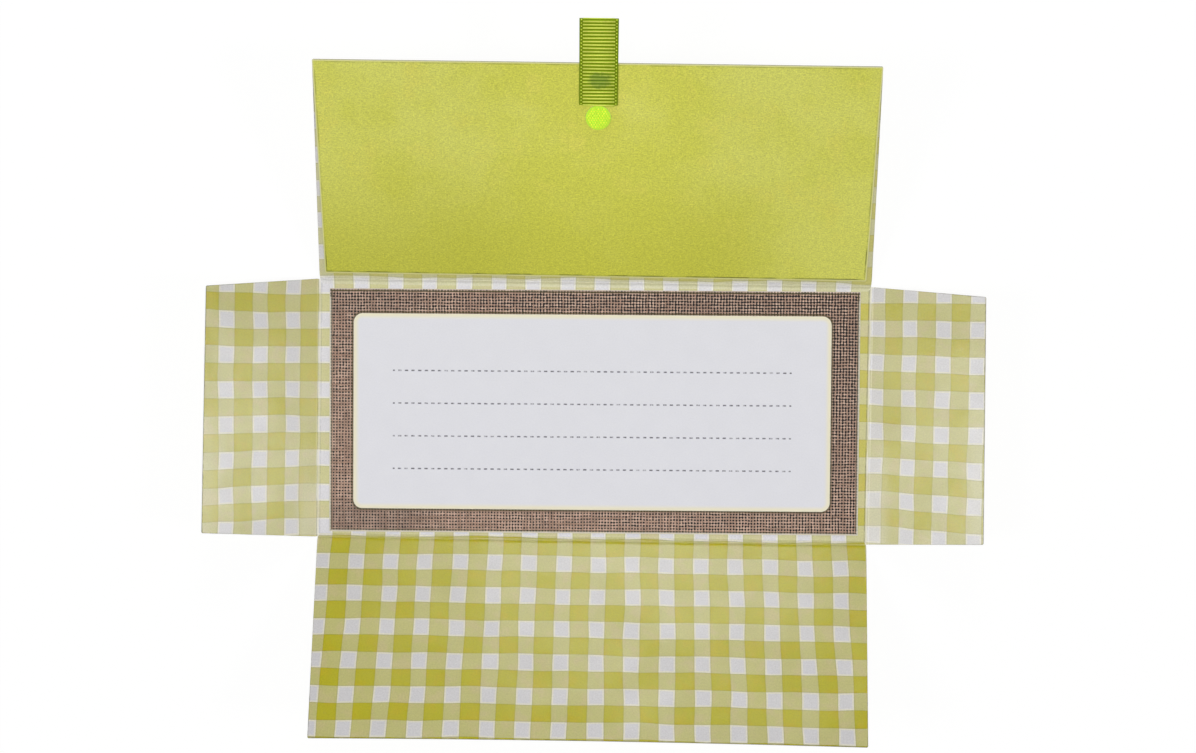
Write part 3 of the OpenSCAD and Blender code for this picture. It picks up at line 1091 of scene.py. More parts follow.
@dataclass(frozen=True)
class Fold:
    """A scored fold: where it lies, and where its leaf stands at rest.

    Attributes:
        side: Which fold.
        rest_deg: How far its leaf stands up.
        slack: Length by which the print sits further out on the leaf.
        card: Thickness of the card.
    """

    side: Side
    rest_deg: float
    slack: float = 0.0
    card: float = CARD

    @property
    def joint(self) -> dict:
        """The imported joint."""
        return next(j for j in frame["joints"] if j["name"] == self.side.value)

    @property
    def leaf_body(self) -> str:
        """The body that the leaf rides on."""
        return self.joint["child"]

    @property
    def hinge(self) -> Vector:
        """The turning line's place, in millimetres."""
        return Vector(self.joint["pos_m"]) / MM

    @property
    def along(self) -> Vector:
        """Direction along the fold."""
        return Vector(self.joint["axis"]).normalized()

    @property
    def out(self) -> Vector:
        """Direction away from the back panel."""
        return Vector((0, 0, 1)).cross(self.along)

    @property
    def strip(self) -> float:
        """Half the length of the card that bends."""
        return math.pi * (self.hinge.z - self.card / 2) / 2

    def world(self, run: float, out: float, up: float) -> Vector:
        """Leads from the fold's own directions to the row frame.

        Args:
            run: Distance along the fold.
            out: Distance away from the back panel.
            up: Height above the table.

        Returns:
            The point, in millimetres.
        """
        ground = Vector((self.hinge.x, self.hinge.y, 0))
        return ground + self.along * run + self.out * out + Vector((0, 0, up))

    def place(self, run: float, out: float, up: float) -> Vector:
        """Finds where a point of the flat sheet lies at rest.

        Args:
            run: Distance along the fold.
            out: Distance on the flat sheet from the fold's centre line.
            up: Height above the sheet's underside.

        Returns:
            The point, in millimetres.
        """
        if out <= -self.strip:
            return self.world(run, out, up)
        if out >= self.strip:
            return self.world(run, *self.raised(out, up))
        share = (out + self.strip) / (2 * self.strip)
        start = Vector((-self.strip, self.card / 2))
        end = Vector(self.raised(self.strip, self.card / 2))
        pull = (end - start).length
        turn = math.radians(self.rest_deg)
        leave, meet = Vector((pull, 0)), Vector((pull * math.cos(turn), pull * math.sin(turn)))
        ease = share * share * (3 - 2 * share)
        middle = (start * (1 - ease) + end * ease + leave * share * (1 - share) ** 2
                  - meet * share ** 2 * (1 - share))
        slope = ((end - start) * 6 * share * (1 - share)
                 + leave * (1 - share) * (1 - 3 * share) + meet * share * (3 * share - 2))
        normal = Vector((-slope.y, slope.x)).normalized()
        spot = middle + normal * (up - self.card / 2)
        return self.world(run, spot.x, spot.y)

    def raised(self, out: float, up: float) -> Point2:
        """Turns a point of the leaf about the turning line, as it stands at rest.

        Args:
            out: Distance from the fold's centre line on the flat sheet.
            up: Height above the sheet's underside.

        Returns:
            Distance out and height above the table.
        """
        turn = math.radians(self.rest_deg)
        high = up - self.hinge.z
        return (out * math.cos(turn) - high * math.sin(turn),
                out * math.sin(turn) + high * math.cos(turn) + self.hinge.z)

    def sheet(self, run: float, out: float) -> Point2:
        """Gives a point of the leaf its place on the unfolded sheet.

        Args:
            run: Distance along the fold.
            out: Distance from the fold's centre line.

        Returns:
            The point on the sheet.
        """
        bent = min(max((out + self.strip) / (2 * self.strip), 0.0), 1.0)
        spot = self.world(run, out - self.slack * bent, 0)
        return spot.x, spot.y


def flat_place(x: float, y: float, up: float) -> Vector:
    """Places a point of a sheet that lies on the table."""
    return Vector((x, y, up))


def same_print(x: float, y: float) -> Point2:
    """Prints a sheet in its own directions."""
    return x, y


def inset(outline: Sequence[Point2], depths: Sequence[float]) -> list[Point2]:
    """Moves each edge of a convex, anticlockwise outline inwards; a small round closes up.

    Args:
        outline: The corners.
        depths: How far each edge moves; edge i runs from corner i to the next.

    Returns:
        The new corners.
    """
    count = len(outline)
    normals = []
    for i in range(count):
        run = Vector(outline[(i + 1) % count]) - Vector(outline[i])
        normals.append(Vector((-run.y, run.x)).normalized())
    moved = []
    for i in range(count):
        before, after = normals[i - 1], normals[i]
        d_before, d_after = depths[i - 1], depths[i]
        cross = before.x * after.y - before.y * after.x
        corner = Vector(outline[i])
        if abs(cross) < 1e-4:
            corner += after * d_after
        else:
            corner += Vector((d_before * after.y - d_after * before.y,
                              d_after * before.x - d_before * after.x)) / cross
        for _ in range(2):
            for j in range(count):
                start, end = Vector(outline[j]), Vector(outline[(j + 1) % count])
                short = depths[j] - (corner - start).dot(normals[j])
                if (end - start).length > 2.0 and short > 0:
                    corner += normals[j] * short
        moved.append((corner.x, corner.y))
    return moved


def rounded(outline: Sequence[Point2], radii: Sequence[float], steps: int = 4) -> list[Point2]:
    """Rounds the corners of a convex, anticlockwise outline.

    Args:
        outline: The corners.
        radii: Radius at each corner, or 0 to leave it square.
        steps: Steps in each round.

    Returns:
        The rounded outline.
    """
    count = len(outline)
    result: list[Point2] = []
    for i, radius in enumerate(radii):
        corner = Vector(outline[i])
        if radius == 0:
            result.append((corner.x, corner.y))
            continue
        back = (Vector(outline[i - 1]) - corner).normalized()
        ahead = (Vector(outline[(i + 1) % count]) - corner).normalized()
        half = back.angle(ahead) / 2
        centre = corner + (back + ahead).normalized() * radius / math.sin(half)
        start = corner + back * radius / math.tan(half) - centre
        sweep = math.pi - 2 * half
        for k in range(steps + 1):
            spoke = start.copy()
            spoke.rotate(Matrix.Rotation(sweep * k / steps, 2))
            result.append((centre.x + spoke.x, centre.y + spoke.y))
    return result


def write_mesh(name: str, build: bmesh.types.BMesh, finishes: Sequence[Finish],
               crisp_deg: float = 38.0) -> Piece:
    """Turns a finished build into an object with its finishes.

    Args:
        name: The piece's name.
        build: Its geometry, in metres.
        finishes: One finish for each material number.
        crisp_deg: Edges sharper than this stay crisp.

    Returns:
        The object.
    """
    mesh = bpy.data.meshes.new(name)
    build.to_mesh(mesh)
    build.free()
    for finish in finishes:
        mesh.materials.append(finish.material())
    mesh.polygons.foreach_set("use_smooth", [True] * len(mesh.polygons))
    mesh.set_sharp_from_angle(angle=math.radians(crisp_deg))
    return linked(name, mesh)


def report(piece: Piece, body: str) -> None:
    """Logs a finished piece.

    Args:
        piece: The piece.
        body: The body it rides on, or the two that it bends between.
    """
    log.info("%-22s %-22s %6d faces", piece.name, body, len(piece.data.polygons))


@dataclass
class Blank:
    """A sheet as the die cuts it: one closed mesh with worn edges and a marked rim band, where the
    finishes paint edge shade and pale bare edges.

    Attributes:
        name: The piece's name.
        outline: Its corners on the flat sheet, anticlockwise.
        low: Height of its underside.
        high: Height of its face.
        finishes: Finish of the face, the cut edge and the underside.
        place: Where a point of the flat sheet lies.
        print_at: Where it lies in the print.
        joined: Outline edges that meet a crease, and so stay square.
        wear: Depth of the worn edges.
        bare: Width of the cut edge that shows from above.
        rim: Width of the band at the free edges that the finishes mark with painted edge shade and
            pale bare edges.
        cell: Distance between cuts across the sheet, or 0 for none.
    """

    name: str
    outline: list[Point2]
    low: float
    high: float
    finishes: Sequence[Finish]
    place: Place = flat_place
    print_at: Print = same_print
    joined: frozenset[int] = frozenset()
    wear: float = 0.05
    bare: float = 0.05
    rim: float = 0.4
    cell: float = 0.0

    def build(self) -> Piece:
        """Builds the sheet, cuts it fine, prints it and lays it in place."""
        build = bmesh.new()
        rim_mark_layer = build.verts.layers.float.new("rim")
        free = [0.0 if i in self.joined else 1.0 for i in range(len(self.outline))]
        worn = inset(self.outline, [self.bare * f for f in free])
        inner = inset(self.outline, [self.rim * f for f in free])
        wear = self.wear
        rings = [(inner, self.low, 0.0), (worn, self.low, 1.0),
                 (self.outline, self.low + wear, 1.0), (self.outline, self.high - wear, 1.0),
                 (worn, self.high, 1.0), (inner, self.high, 0.0)]
        loops = []
        for points, height, rim_mark in rings:
            loop = [build.verts.new((x, y, height)) for x, y in points]
            for i, vert in enumerate(loop):
                vert[rim_mark_layer] = rim_mark * min(free[i], free[i - 1])
            loops.append(loop)
        count = len(self.outline)
        for number, (lower, upper) in enumerate(zip(loops, loops[1:])):
            for i in range(count):
                j = (i + 1) % count
                corners = (lower[i], lower[j], upper[j], upper[i])
                face = build.faces.new(corners)
                face.material_index = (2, 1, 1, 1, 0)[number]
        build.faces.new(loops[-1]).material_index = 0
        build.faces.new(list(reversed(loops[0]))).material_index = 2
        self.cut(build)
        bmesh.ops.remove_doubles(build, verts=build.verts, dist=1e-5)
        bmesh.ops.dissolve_degenerate(build, edges=build.edges, dist=1e-6)
        print_layer = build.loops.layers.uv.new("sheet")
        for face in build.faces:
            for corner in face.loops:
                corner[print_layer].uv = self.print_at(corner.vert.co.x, corner.vert.co.y)
        for vert in build.verts:
            vert.co = self.place(*vert.co) * MM
        return write_mesh(self.name, build, self.finishes)

    def cut(self, build: bmesh.types.BMesh) -> None:
        """Cuts the sheet into even cells, so that it can bend.

        Args:
            build: The sheet's geometry.
        """
        if self.cell == 0:
            return
        for axis in (0, 1):
            values = [point[axis] for point in self.outline]
            low, high = min(values), max(values)
            count = max(1, round((high - low) / self.cell))
            normal = Vector((1, 0, 0)) if axis == 0 else Vector((0, 1, 0))
            for k in range(1, count):
                across = low + (high - low) * k / count
                parts = build.verts[:] + build.edges[:] + build.faces[:]
                bmesh.ops.bisect_plane(build, geom=parts, dist=1e-4,
                                       plane_co=normal * across, plane_no=normal)


@dataclass
class Folder:
    """The one die-cut sheet: back panel, four leaves and the four scored folds.

    Attributes:
        card: Thickness of the card.
        base_x: Half the back panel's width.
        base_low: Lower end of the back panel.
        base_high: Upper end of the back panel.
        corner: Radius of the outer corners.
        bead_w: Width of the bead that scoring raises.
        bead_h: Height of that bead.
        bead_waves: Rates at which that height changes along the fold, in radians per millimetre.
        bends: Number of steps across a crease.
        cuts: Number of steps along a crease.
        folds: The four folds, with the angle at which each leaf stands.
        roots: Half of each leaf's width at its fold.
        lengths: Length of each leaf from its fold's centre line.
        slant: How much shorter the side flaps are at the lid's end.
        tapers: How far each leaf's free edge is drawn in at each end.
        curls: How far each leaf's free corners have lifted.
        hollows: How far the middle of each free edge is drawn in.
    """

    card: float = CARD
    base_x: float = 89.215
    base_low: float = -41.061
    base_high: float = 40.708
    corner: float = 0.5
    bead_w: float = 0.9
    bead_h: float = 0.14
    bead_waves: Point2 = (0.31, 0.083)
    bends: int = 30
    cuts: int = 60
    folds: dict[Side, Fold] = field(default_factory=lambda: {
        Side.LID: Fold(Side.LID, 27.0, 0.6), Side.POCKET: Fold(Side.POCKET, 29.6, 0.4),
        Side.LEFT: Fold(Side.LEFT, 31.6), Side.RIGHT: Fold(Side.RIGHT, 29.0)})
    roots: dict[Side, float] = field(default_factory=lambda: {
        Side.LID: 90.1, Side.POCKET: 90.1, Side.LEFT: 42.3, Side.RIGHT: 42.1})
    lengths: dict[Side, float] = field(default_factory=lambda: {
        Side.LID: LID_LENGTH, Side.POCKET: 67.6, Side.LEFT: 39.3, Side.RIGHT: 39.3})
    slant: float = 0.9
    tapers: dict[Side, float] = field(default_factory=lambda: {
        Side.LID: 2.4, Side.POCKET: 2.8, Side.LEFT: 3.0, Side.RIGHT: 2.8})
    curls: dict[Side, float] = field(default_factory=lambda: {
        Side.LID: 0.0, Side.POCKET: 0.06, Side.LEFT: 0.06, Side.RIGHT: 0.06})
    hollows: dict[Side, float] = field(default_factory=lambda: {
        Side.LID: 0.0, Side.POCKET: 0.6, Side.LEFT: 0.0, Side.RIGHT: 0.0})

    def span(self, side: Side) -> Point2:
        """Gives where a fold starts and ends along its own direction.

        Args:
            side: Which fold.

        Returns:
            Its two ends.
        """
        if side in (Side.LID, Side.POCKET):
            return -self.base_x, self.base_x
        if side is Side.LEFT:
            return self.base_low, self.base_high
        return -self.base_high, -self.base_low

    def crossing(self, side: Side) -> float:
        """Gives how far from a fold's middle its line crosses the neighbouring folds."""
        beside = self.folds[Side.LEFT if side in (Side.LID, Side.POCKET) else Side.LID]
        return max(abs(beside.hinge.x), abs(beside.hinge.y))

    def build(self) -> None:
        """Builds the back panel, then each leaf with its crease."""
        self.back_panel()
        nodes = {Side.LID: ("lid_panel", "lid_crease"),
                 Side.POCKET: ("pocket_panel", "pocket_crease"),
                 Side.LEFT: ("left_flap", "left_crease"),
                 Side.RIGHT: ("right_flap", "right_crease")}
        for side, (leaf_node, crease_node) in nodes.items():
            self.leaf(side, leaf_node)
            self.crease(side, crease_node)

    def back_panel(self) -> None:
        """Builds the back panel, whose four edges all run into a crease."""
        x, low, high = self.base_x, self.base_low, self.base_high
        outline = [(-x, low), (x, low), (x, high), (-x, high)]
        piece = Blank("back_panel", outline, 0.0, self.card, (BASE_CHECK, CARD_EDGE, CARD_BACK),
                      joined=frozenset(range(4))).build()
        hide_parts("base_panel")
        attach(piece, "folder")
        report(piece, "folder")

    def leaf(self, side: Side, node: str) -> None:
        """Builds one leaf of card.

        Args:
            side: The fold that it hangs on.
            node: The solid that it stands for.
        """
        fold = self.folds[side]
        root, length, taper = self.roots[side], self.lengths[side], self.tapers[side]
        short = length - self.slant
        starts = short if side is Side.RIGHT else length
        ends = short if side is Side.LEFT else length
        corners = [(-root, fold.strip), (root, fold.strip), (root - taper, ends),
                   (-root + taper, starts)]
        outline = rounded(corners, (0, 0, self.corner, self.corner))

        def place(run: float, out: float, up: float) -> Vector:
            """Places a point of the leaf: corners lifted a little, free edge hollowed."""
            reach = (out - fold.strip) / (length - fold.strip)
            across = min(1.0, abs(run) / (root - taper)) ** 2
            hollow = self.hollows[side] * reach ** 2 * (1 - across)
            return fold.place(run, out - hollow, up + self.curls[side] * reach ** 2 * across)

        face = LID_CHECK if side is Side.LID else CHECK
        piece = Blank(f"{node}_card", outline, 0.0, self.card, (face, CARD_EDGE, CARD_BACK),
                      place=place, print_at=fold.sheet, joined=frozenset({0}), cell=4.0).build()
        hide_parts(node)
        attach(piece, fold.leaf_body)
        report(piece, fold.leaf_body)

    def bead(self, run: float, out: float) -> float:
        """Gives the height of the bead, which is a little uneven along the fold.

        Args:
            run: Distance along the fold.
            out: Distance from the fold's centre line.

        Returns:
            The height above the card.
        """
        fast, slow = self.bead_waves
        uneven = 0.75 + 0.25 * math.sin(run * fast) * math.sin(run * slow + 1.3)
        share = min(1.0, abs(out) * 2 / self.bead_w)
        return self.bead_h * uneven * (1 + math.cos(math.pi * share)) / 2

    def crease(self, side: Side, node: str) -> None:
        """Builds the strip of card that bends, with the bead that scoring raises.

        Args:
            side: Which fold.
            node: The solid that it stands for.
        """
        fold = self.folds[side]
        low, high = self.span(side)
        build = bmesh.new()
        score = build.verts.layers.float.new("score")
        print_layer = build.loops.layers.uv.new("sheet")
        flat: dict[bmesh.types.BMVert, Point2] = {}
        root, crossing = self.roots[side], self.crossing(side)
        stations = [fold.strip * (2 * k / self.bends - 1) for k in range(self.bends + 1)]

        def ring(along: float) -> tuple[list[bmesh.types.BMVert], list[bmesh.types.BMVert]]:
            """Lays one cut across the strip, its face and its back; its ends are mitred."""
            face, back = [], []
            for out in stations:
                near, past = min(out / fold.strip + 1, 1), max(out / fold.strip, 0)
                start = low - (crossing + low) * near - (root - crossing) * past
                end = high + (crossing - high) * near + (root - crossing) * past
                run = start + (end - start) * along
                bead = self.bead(run, out)
                for row, up in ((face, self.card + bead), (back, bead)):
                    vert = build.verts.new(fold.place(run, out, up) * MM)
                    vert[score] = out
                    flat[vert] = (run, out)
                    row.append(vert)
            return face, back

        rings = [ring(k / self.cuts) for k in range(self.cuts + 1)]
        for (face_a, back_a), (face_b, back_b) in zip(rings, rings[1:]):
            for k in range(len(stations) - 1):
                build.faces.new((face_a[k], face_b[k], face_b[k + 1], face_a[k + 1]))
                under = build.faces.new((back_a[k + 1], back_b[k + 1], back_b[k], back_a[k]))
                under.material_index = 2
            for k in (0, len(stations) - 1):
                corners = (face_a[k], back_a[k], back_b[k], face_b[k])
                edge = build.faces.new(corners if k == 0 else tuple(reversed(corners)))
                edge.material_index = 1
        for (face, back), turned in ((rings[0], False), (rings[-1], True)):
            for k in range(len(stations) - 1):
                corners = (face[k], face[k + 1], back[k + 1], back[k])
                edge = build.faces.new(tuple(reversed(corners)) if turned else corners)
                edge.material_index = 1
        for face in build.faces:
            for corner in face.loops:
                corner[print_layer].uv = fold.sheet(*flat[corner.vert])
        piece = write_mesh(f"{node}_card", build, (SCORED[side], CARD_EDGE, CARD_BACK))
        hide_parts(node)
        middle = (low + high) / 2
        fold.leaf_body
        fold.place(middle, -fold.strip, self.card / 2) * MM
        fold.place(middle, fold.strip, self.card / 2) * MM
        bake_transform(piece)
        report(piece, f"folder to {fold.leaf_body}")


@dataclass
class WritingPanel:
    """The mat on the back panel, with the writing label on it.

    Attributes:
        mat_w: Width of the mat.
        mat_h: Height of the mat.
        mat_low: Height of the mat's underside above the table.
        mat_t: Thickness of the mat.
        label_w: Width of the label.
        label_h: Height of the label.
        label_low: Height of the label's underside above the table.
        label_t: Thickness of the label.
        label_corner: Radius of the label's corners.
        shift: Where the mat's middle lies on the back panel.
        label_shift: Where the label's middle lies on the mat.
        turn_deg: How far both were turned as they were glued.
    """

    mat_w: float = 173.43
    mat_h: float = 79.769
    mat_low: float = 0.45
    mat_t: float = 0.2
    label_w: float = 156.23
    label_h: float = 2 * LABEL_HALF[1]
    label_low: float = 0.75
    label_t: float = 0.15
    label_corner: float = LABEL_CORNER
    shift: Point2 = (0.2, 0.0235)
    label_shift: Point2 = LABEL_SHIFT
    turn_deg: float = 0.42

    def place(self, x: float, y: float, up: float) -> Vector:
        """Places a point of the mat as it was glued.

        Args:
            x: Distance to the right of its middle.
            y: Distance up from its middle.
            up: Height above the table.

        Returns:
            The point, in millimetres.
        """
        spot = Vector((x, y))
        spot.rotate(Matrix.Rotation(math.radians(self.turn_deg), 2))
        return Vector((spot.x + self.shift[0], spot.y + self.shift[1], up))

    def place_label(self, x: float, y: float, up: float) -> Vector:
        """Places a point of the label, given from the label's middle."""
        return self.place(x + self.label_shift[0], y + self.label_shift[1], up)

    def build(self) -> None:
        """Builds the mat and the label."""
        half_w, half_h = self.mat_w / 2, self.mat_h / 2
        mat = Blank("burlap_print_mat", self.corners(half_w, half_h), self.mat_low,
                    self.mat_low + self.mat_t, (BURLAP, BURLAP_EDGE, BURLAP_EDGE),
                    place=self.place, wear=0.03, bare=0.1, rim=1.1).build()
        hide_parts("burlap_mat")
        half_w, half_h = self.label_w / 2, self.label_h / 2
        outline = rounded(self.corners(half_w, half_h), (self.label_corner,) * 4, 10)
        label = Blank("writing_label_card", outline, self.label_low,
                      self.label_low + self.label_t, (LABEL, LABEL_EDGE, LABEL_EDGE),
                      place=self.place_label, wear=0.03, rim=0.25).build()
        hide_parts("writing_label")
        for piece, finish in ((mat, BURLAP), (label, LABEL)):
            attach(piece, "folder")
            report(piece, "folder")

    def corners(self, half_w: float, half_h: float) -> list[Point2]:
        """Gives the corners of a sheet, measured from its own middle.

        Args:
            half_w: Half its width.
            half_h: Half its height.

        Returns:
            The corners, anticlockwise.
        """
        return [(-half_w, -half_h), (half_w, -half_h), (half_w, half_h), (-half_w, half_h)]


@dataclass
class RibRow:
    """A row of like threads along a path, laid by Geometry Nodes.

    Attributes:
        name: The piece's name.
        path: The points that the row follows, in millimetres.
        pitch: Distance between threads along the path.
        length: Length of a thread, across the path.
        width: Width of a thread, along the path.
        thick: Thickness of a thread.
        round_ends: Whether a thread is a bead with round ends.
        finish: Its finish.
        seed: Seed of the small changes of tone.
        skew: Greatest turn of a thread from square, in radians.
        tones: Least and greatest tone of a thread.
    """

    name: str
    path: Sequence[Vector]
    pitch: float
    length: float
    width: float
    thick: float
    round_ends: bool
    finish: Finish
    seed: int = 3
    skew: float = 0.014
    tones: Point2 = (0.9, 1.08)

    def build(self) -> Piece:
        """Lays the row and turns it into a plain mesh."""
        mesh = bpy.data.meshes.new(self.name)
        mesh.from_pydata([point * MM for point in self.path],
                         [(i, i + 1) for i in range(len(self.path) - 1)], [])
        tree = RowTree("thread row", {
            "Pitch": self.pitch * MM, "Length": self.length * MM, "Width": self.width * MM,
            "Thickness": self.thick * MM, "Round Ends": self.round_ends, "Seed": self.seed,
            "Finish": self.finish.material()})
        given = tree.given
        curve = tree.add("GeometryNodeMeshToCurve", {"Mesh": given["Geometry"]})
        points = tree.add("GeometryNodeCurveToPoints", {"Curve": curve,
                          "Length": given["Pitch"]}, mode="LENGTH")
        turn = tree.add("FunctionNodeAlignRotationToVector",
                        {"Vector": points.outputs["Tangent"]}, axis="Y", pivot_axis="X")
        bar = tree.add("GeometryNodeMeshCylinder", {"Vertices": 12, "Radius": 0.5, "Depth": 1.0})
        lying = tree.add("GeometryNodeTransform", {"Geometry": bar,
                         "Rotation": (0.0, math.pi / 2, 0.0)})
        bead = tree.add("GeometryNodeMeshUVSphere", {"Segments": 10, "Rings": 6, "Radius": 0.5})
        thread = tree.add("GeometryNodeSwitch", {"Switch": given["Round Ends"],
                          "False": lying, "True": bead}, input_type="GEOMETRY")
        # The thread's height is kept as crest, where the ribbon's finish paints its highlight.
        place = tree.add("GeometryNodeInputPosition").outputs[0]
        high = tree.add("ShaderNodeSeparateXYZ", {0: place}).outputs[2]
        crested = tree.add("GeometryNodeStoreNamedAttribute", {"Geometry": thread,
                           "Name": "crest", "Value": high}, data_type="FLOAT", domain="POINT")
        size = tree.add("ShaderNodeCombineXYZ", {0: given["Length"], 1: given["Width"],
                        2: given["Thickness"]})
        skew = tree.add("FunctionNodeRandomValue", {0: (0.0, 0.0, -self.skew),
                        1: (0.0, 0.0, self.skew), "Seed": given["Seed"]}, data_type="FLOAT_VECTOR")
        askew = tree.add("FunctionNodeRotateRotation", {"Rotation": turn, "Rotate By": skew},
                         rotation_space="LOCAL")
        return tree.lay(self.name, mesh, {"Points": points,
                        "Instance": crested, "Rotation": askew, "Scale": size}, self.tones)


@dataclass
class Ribbon:
    """The grosgrain pull tab, folded over the lid's free edge.

    Attributes:
        fold: The lid's fold.
        shift: Distance of its middle from the lid's.
        width: Width of the ribbon.
        thick: Thickness over the ribs.
        web: Thickness between the ribs.
        pitch: Distance between ribs.
        selvedge: Length of the turned threads at each side.
        border: Bare web outside them.
        edge: Distance from the fold to the lid's free edge.
        tail: Length of each tail that lies on the lid.
        reach: How far the loop stands out past the edge.
        middle_up: Height of the loop's middle above the lid's underside.
        tail_gap: Height of a tail's middle line from there.
        pinch: The same where the two runs come closest.
        bulb: Radius of the bulb's inside.
        pinch_start: Share of the reach at which the runs have met.
        pinch_end: Share of the reach at which they part again.
        bulb_steps: Number of steps round the bulb.
        rib_gap: Bare web at the ribs' two ends, together.
        rib_share: Width of a rib, as a share of the pitch.
        bead_share: Width of a selvedge thread, as a share of the pitch.
        thin: Width of the web's thinner edges.
    """

    fold: Fold
    shift: float = 0.5
    width: float = 12.0
    thick: float = 0.3
    web: float = 0.17
    pitch: float = 1.06
    selvedge: float = 0.6
    border: float = 0.32
    edge: float = LID_LENGTH
    tail: float = 13.5
    reach: float = 14.2
    middle_up: float = 0.3
    tail_gap: float = 0.55
    pinch: float = 0.23
    bulb: float = 0.4
    pinch_start: float = 0.42
    pinch_end: float = 0.8
    bulb_steps: int = 12
    rib_gap: float = 0.3
    rib_share: float = 0.7
    bead_share: float = 0.6
    thin: float = 0.1

    def half_gap(self, out: float) -> float:
        """Gives half the distance between the two runs.

        Args:
            out: Distance from the lid's fold.

        Returns:
            Half the distance between their middle lines.
        """
        def ease(start: float, end: float, low: float, high: float) -> float:
            """Leads smoothly from low to high between two places."""
            share = min(1.0, max(0.0, (out - start) / (end - start)))
            return low + (high - low) * share * share * (3 - 2 * share)

        part = self.edge + self.reach * self.pinch_end
        if out < part:
            return ease(self.edge, self.edge + self.reach * self.pinch_start, self.tail_gap,
                        self.pinch)
        return ease(part, self.bulb_out, self.pinch, self.bulb + self.thick / 2)

    @property
    def bulb_out(self) -> float:
        """Distance from the lid's fold to the middle of the bulb."""
        return self.edge + self.reach - self.thick - self.bulb

    def line(self, step: float = 0.23) -> list[Point2]:
        """Follows the ribbon's middle line from its inner tail to its outer tail.

        Args:
            step: Distance between points.

        Returns:
            Distance from the lid's fold and height above the lid's underside of each point.
        """
        start, end = self.edge - self.tail, self.bulb_out
        count = round((end - start) / step)
        outs = [start + (end - start) * k / count for k in range(count + 1)]
        inner = [(out, self.middle_up + self.half_gap(out)) for out in outs]
        radius = self.bulb + self.thick / 2
        turns = [math.pi * k / self.bulb_steps for k in range(1, self.bulb_steps)]
        turn = [(end + radius * math.sin(angle), self.middle_up + radius * math.cos(angle))
                for angle in turns]
        outer = [(out, self.middle_up - self.half_gap(out)) for out in reversed(outs)]
        return inner + turn + outer

    def at(self, side: float) -> list[Vector]:
        """Places the middle line at a distance from the ribbon's middle.

        Args:
            side: The distance.

        Returns:
            The points, in millimetres.
        """
        return [self.fold.place(self.shift + side, out, up) for out, up in self.line()]

    def build(self) -> None:
        """Builds the web, the ribs and the two selvedges."""
        web = self.build_web()
        ribs = RibRow("ribbon_ribs", self.at(0.0), self.pitch,
                      self.width - 2 * (self.selvedge + self.border) - self.rib_gap,
                      self.pitch * self.rib_share, self.thick, False, RIB).build()
        pieces = [ribs]
        for name, sign in (("ribbon_selvedge_left", -1), ("ribbon_selvedge_right", 1)):
            path = self.at(sign * (self.width / 2 - self.border - self.selvedge / 2))[2:-2]
            pieces.append(RibRow(name, path, self.pitch, self.selvedge,
                                 self.pitch * self.bead_share, self.thick, True, RIB,
                                 seed=5 + sign).build())
        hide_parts("ribbon_tab")
        for piece in [web, *pieces]:
            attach(piece, "lid")
            report(piece, "lid")
        length = sum((b - a).length for a, b in zip(self.at(0.0), self.at(0.0)[1:]))
        log.info("ribbon cut %.1f mm long", length)

    def build_web(self) -> Piece:
        """Builds the thin cloth between the ribs as one closed band."""
        build = bmesh.new()
        print_layer = build.loops.layers.uv.new("sheet")
        line = self.line()
        half, thin = self.width / 2, self.web / 2
        full = half - self.thin
        section = [(-half, -thin), (-full, -thin), (full, -thin), (half, -thin),
                   (half, thin), (full, thin), (-full, thin), (-half, thin)]
        section = [(x, z * (0.5 if abs(x) == half else 1.0)) for x, z in section]
        rings, travelled = [], 0.0
        lengths: dict[bmesh.types.BMVert, Point2] = {}
        for i, (out, up) in enumerate(line):
            before, after = line[max(i - 1, 0)], line[min(i + 1, len(line) - 1)]
            slope = Vector((after[0] - before[0], after[1] - before[1])).normalized()
            if i:
                travelled += math.dist(line[i - 1], line[i])
            ring = []
            for x, z in section:
                spot = self.fold.place(self.shift + x, out - slope.y * z, up + slope.x * z)
                vert = build.verts.new(spot * MM)
                lengths[vert] = (x, travelled)
                ring.append(vert)
            rings.append(ring)
        for a, b in zip(rings, rings[1:]):
            for k in range(len(section)):
                j = (k + 1) % len(section)
                build.faces.new((a[k], b[k], b[j], a[j]))
        build.faces.new(rings[0])
        build.faces.new(list(reversed(rings[-1])))
        bmesh.ops.recalc_face_normals(build, faces=build.faces)
        for face in build.faces:
            for corner in face.loops:
                corner[print_layer].uv = lengths[corner.vert]
        return write_mesh("ribbon_web", build, (WEB,))


class Pile(Enum):
    """What stands on a closure dot."""

    HOOKS = "mushroom hooks"
    LOOPS = "loose loops"


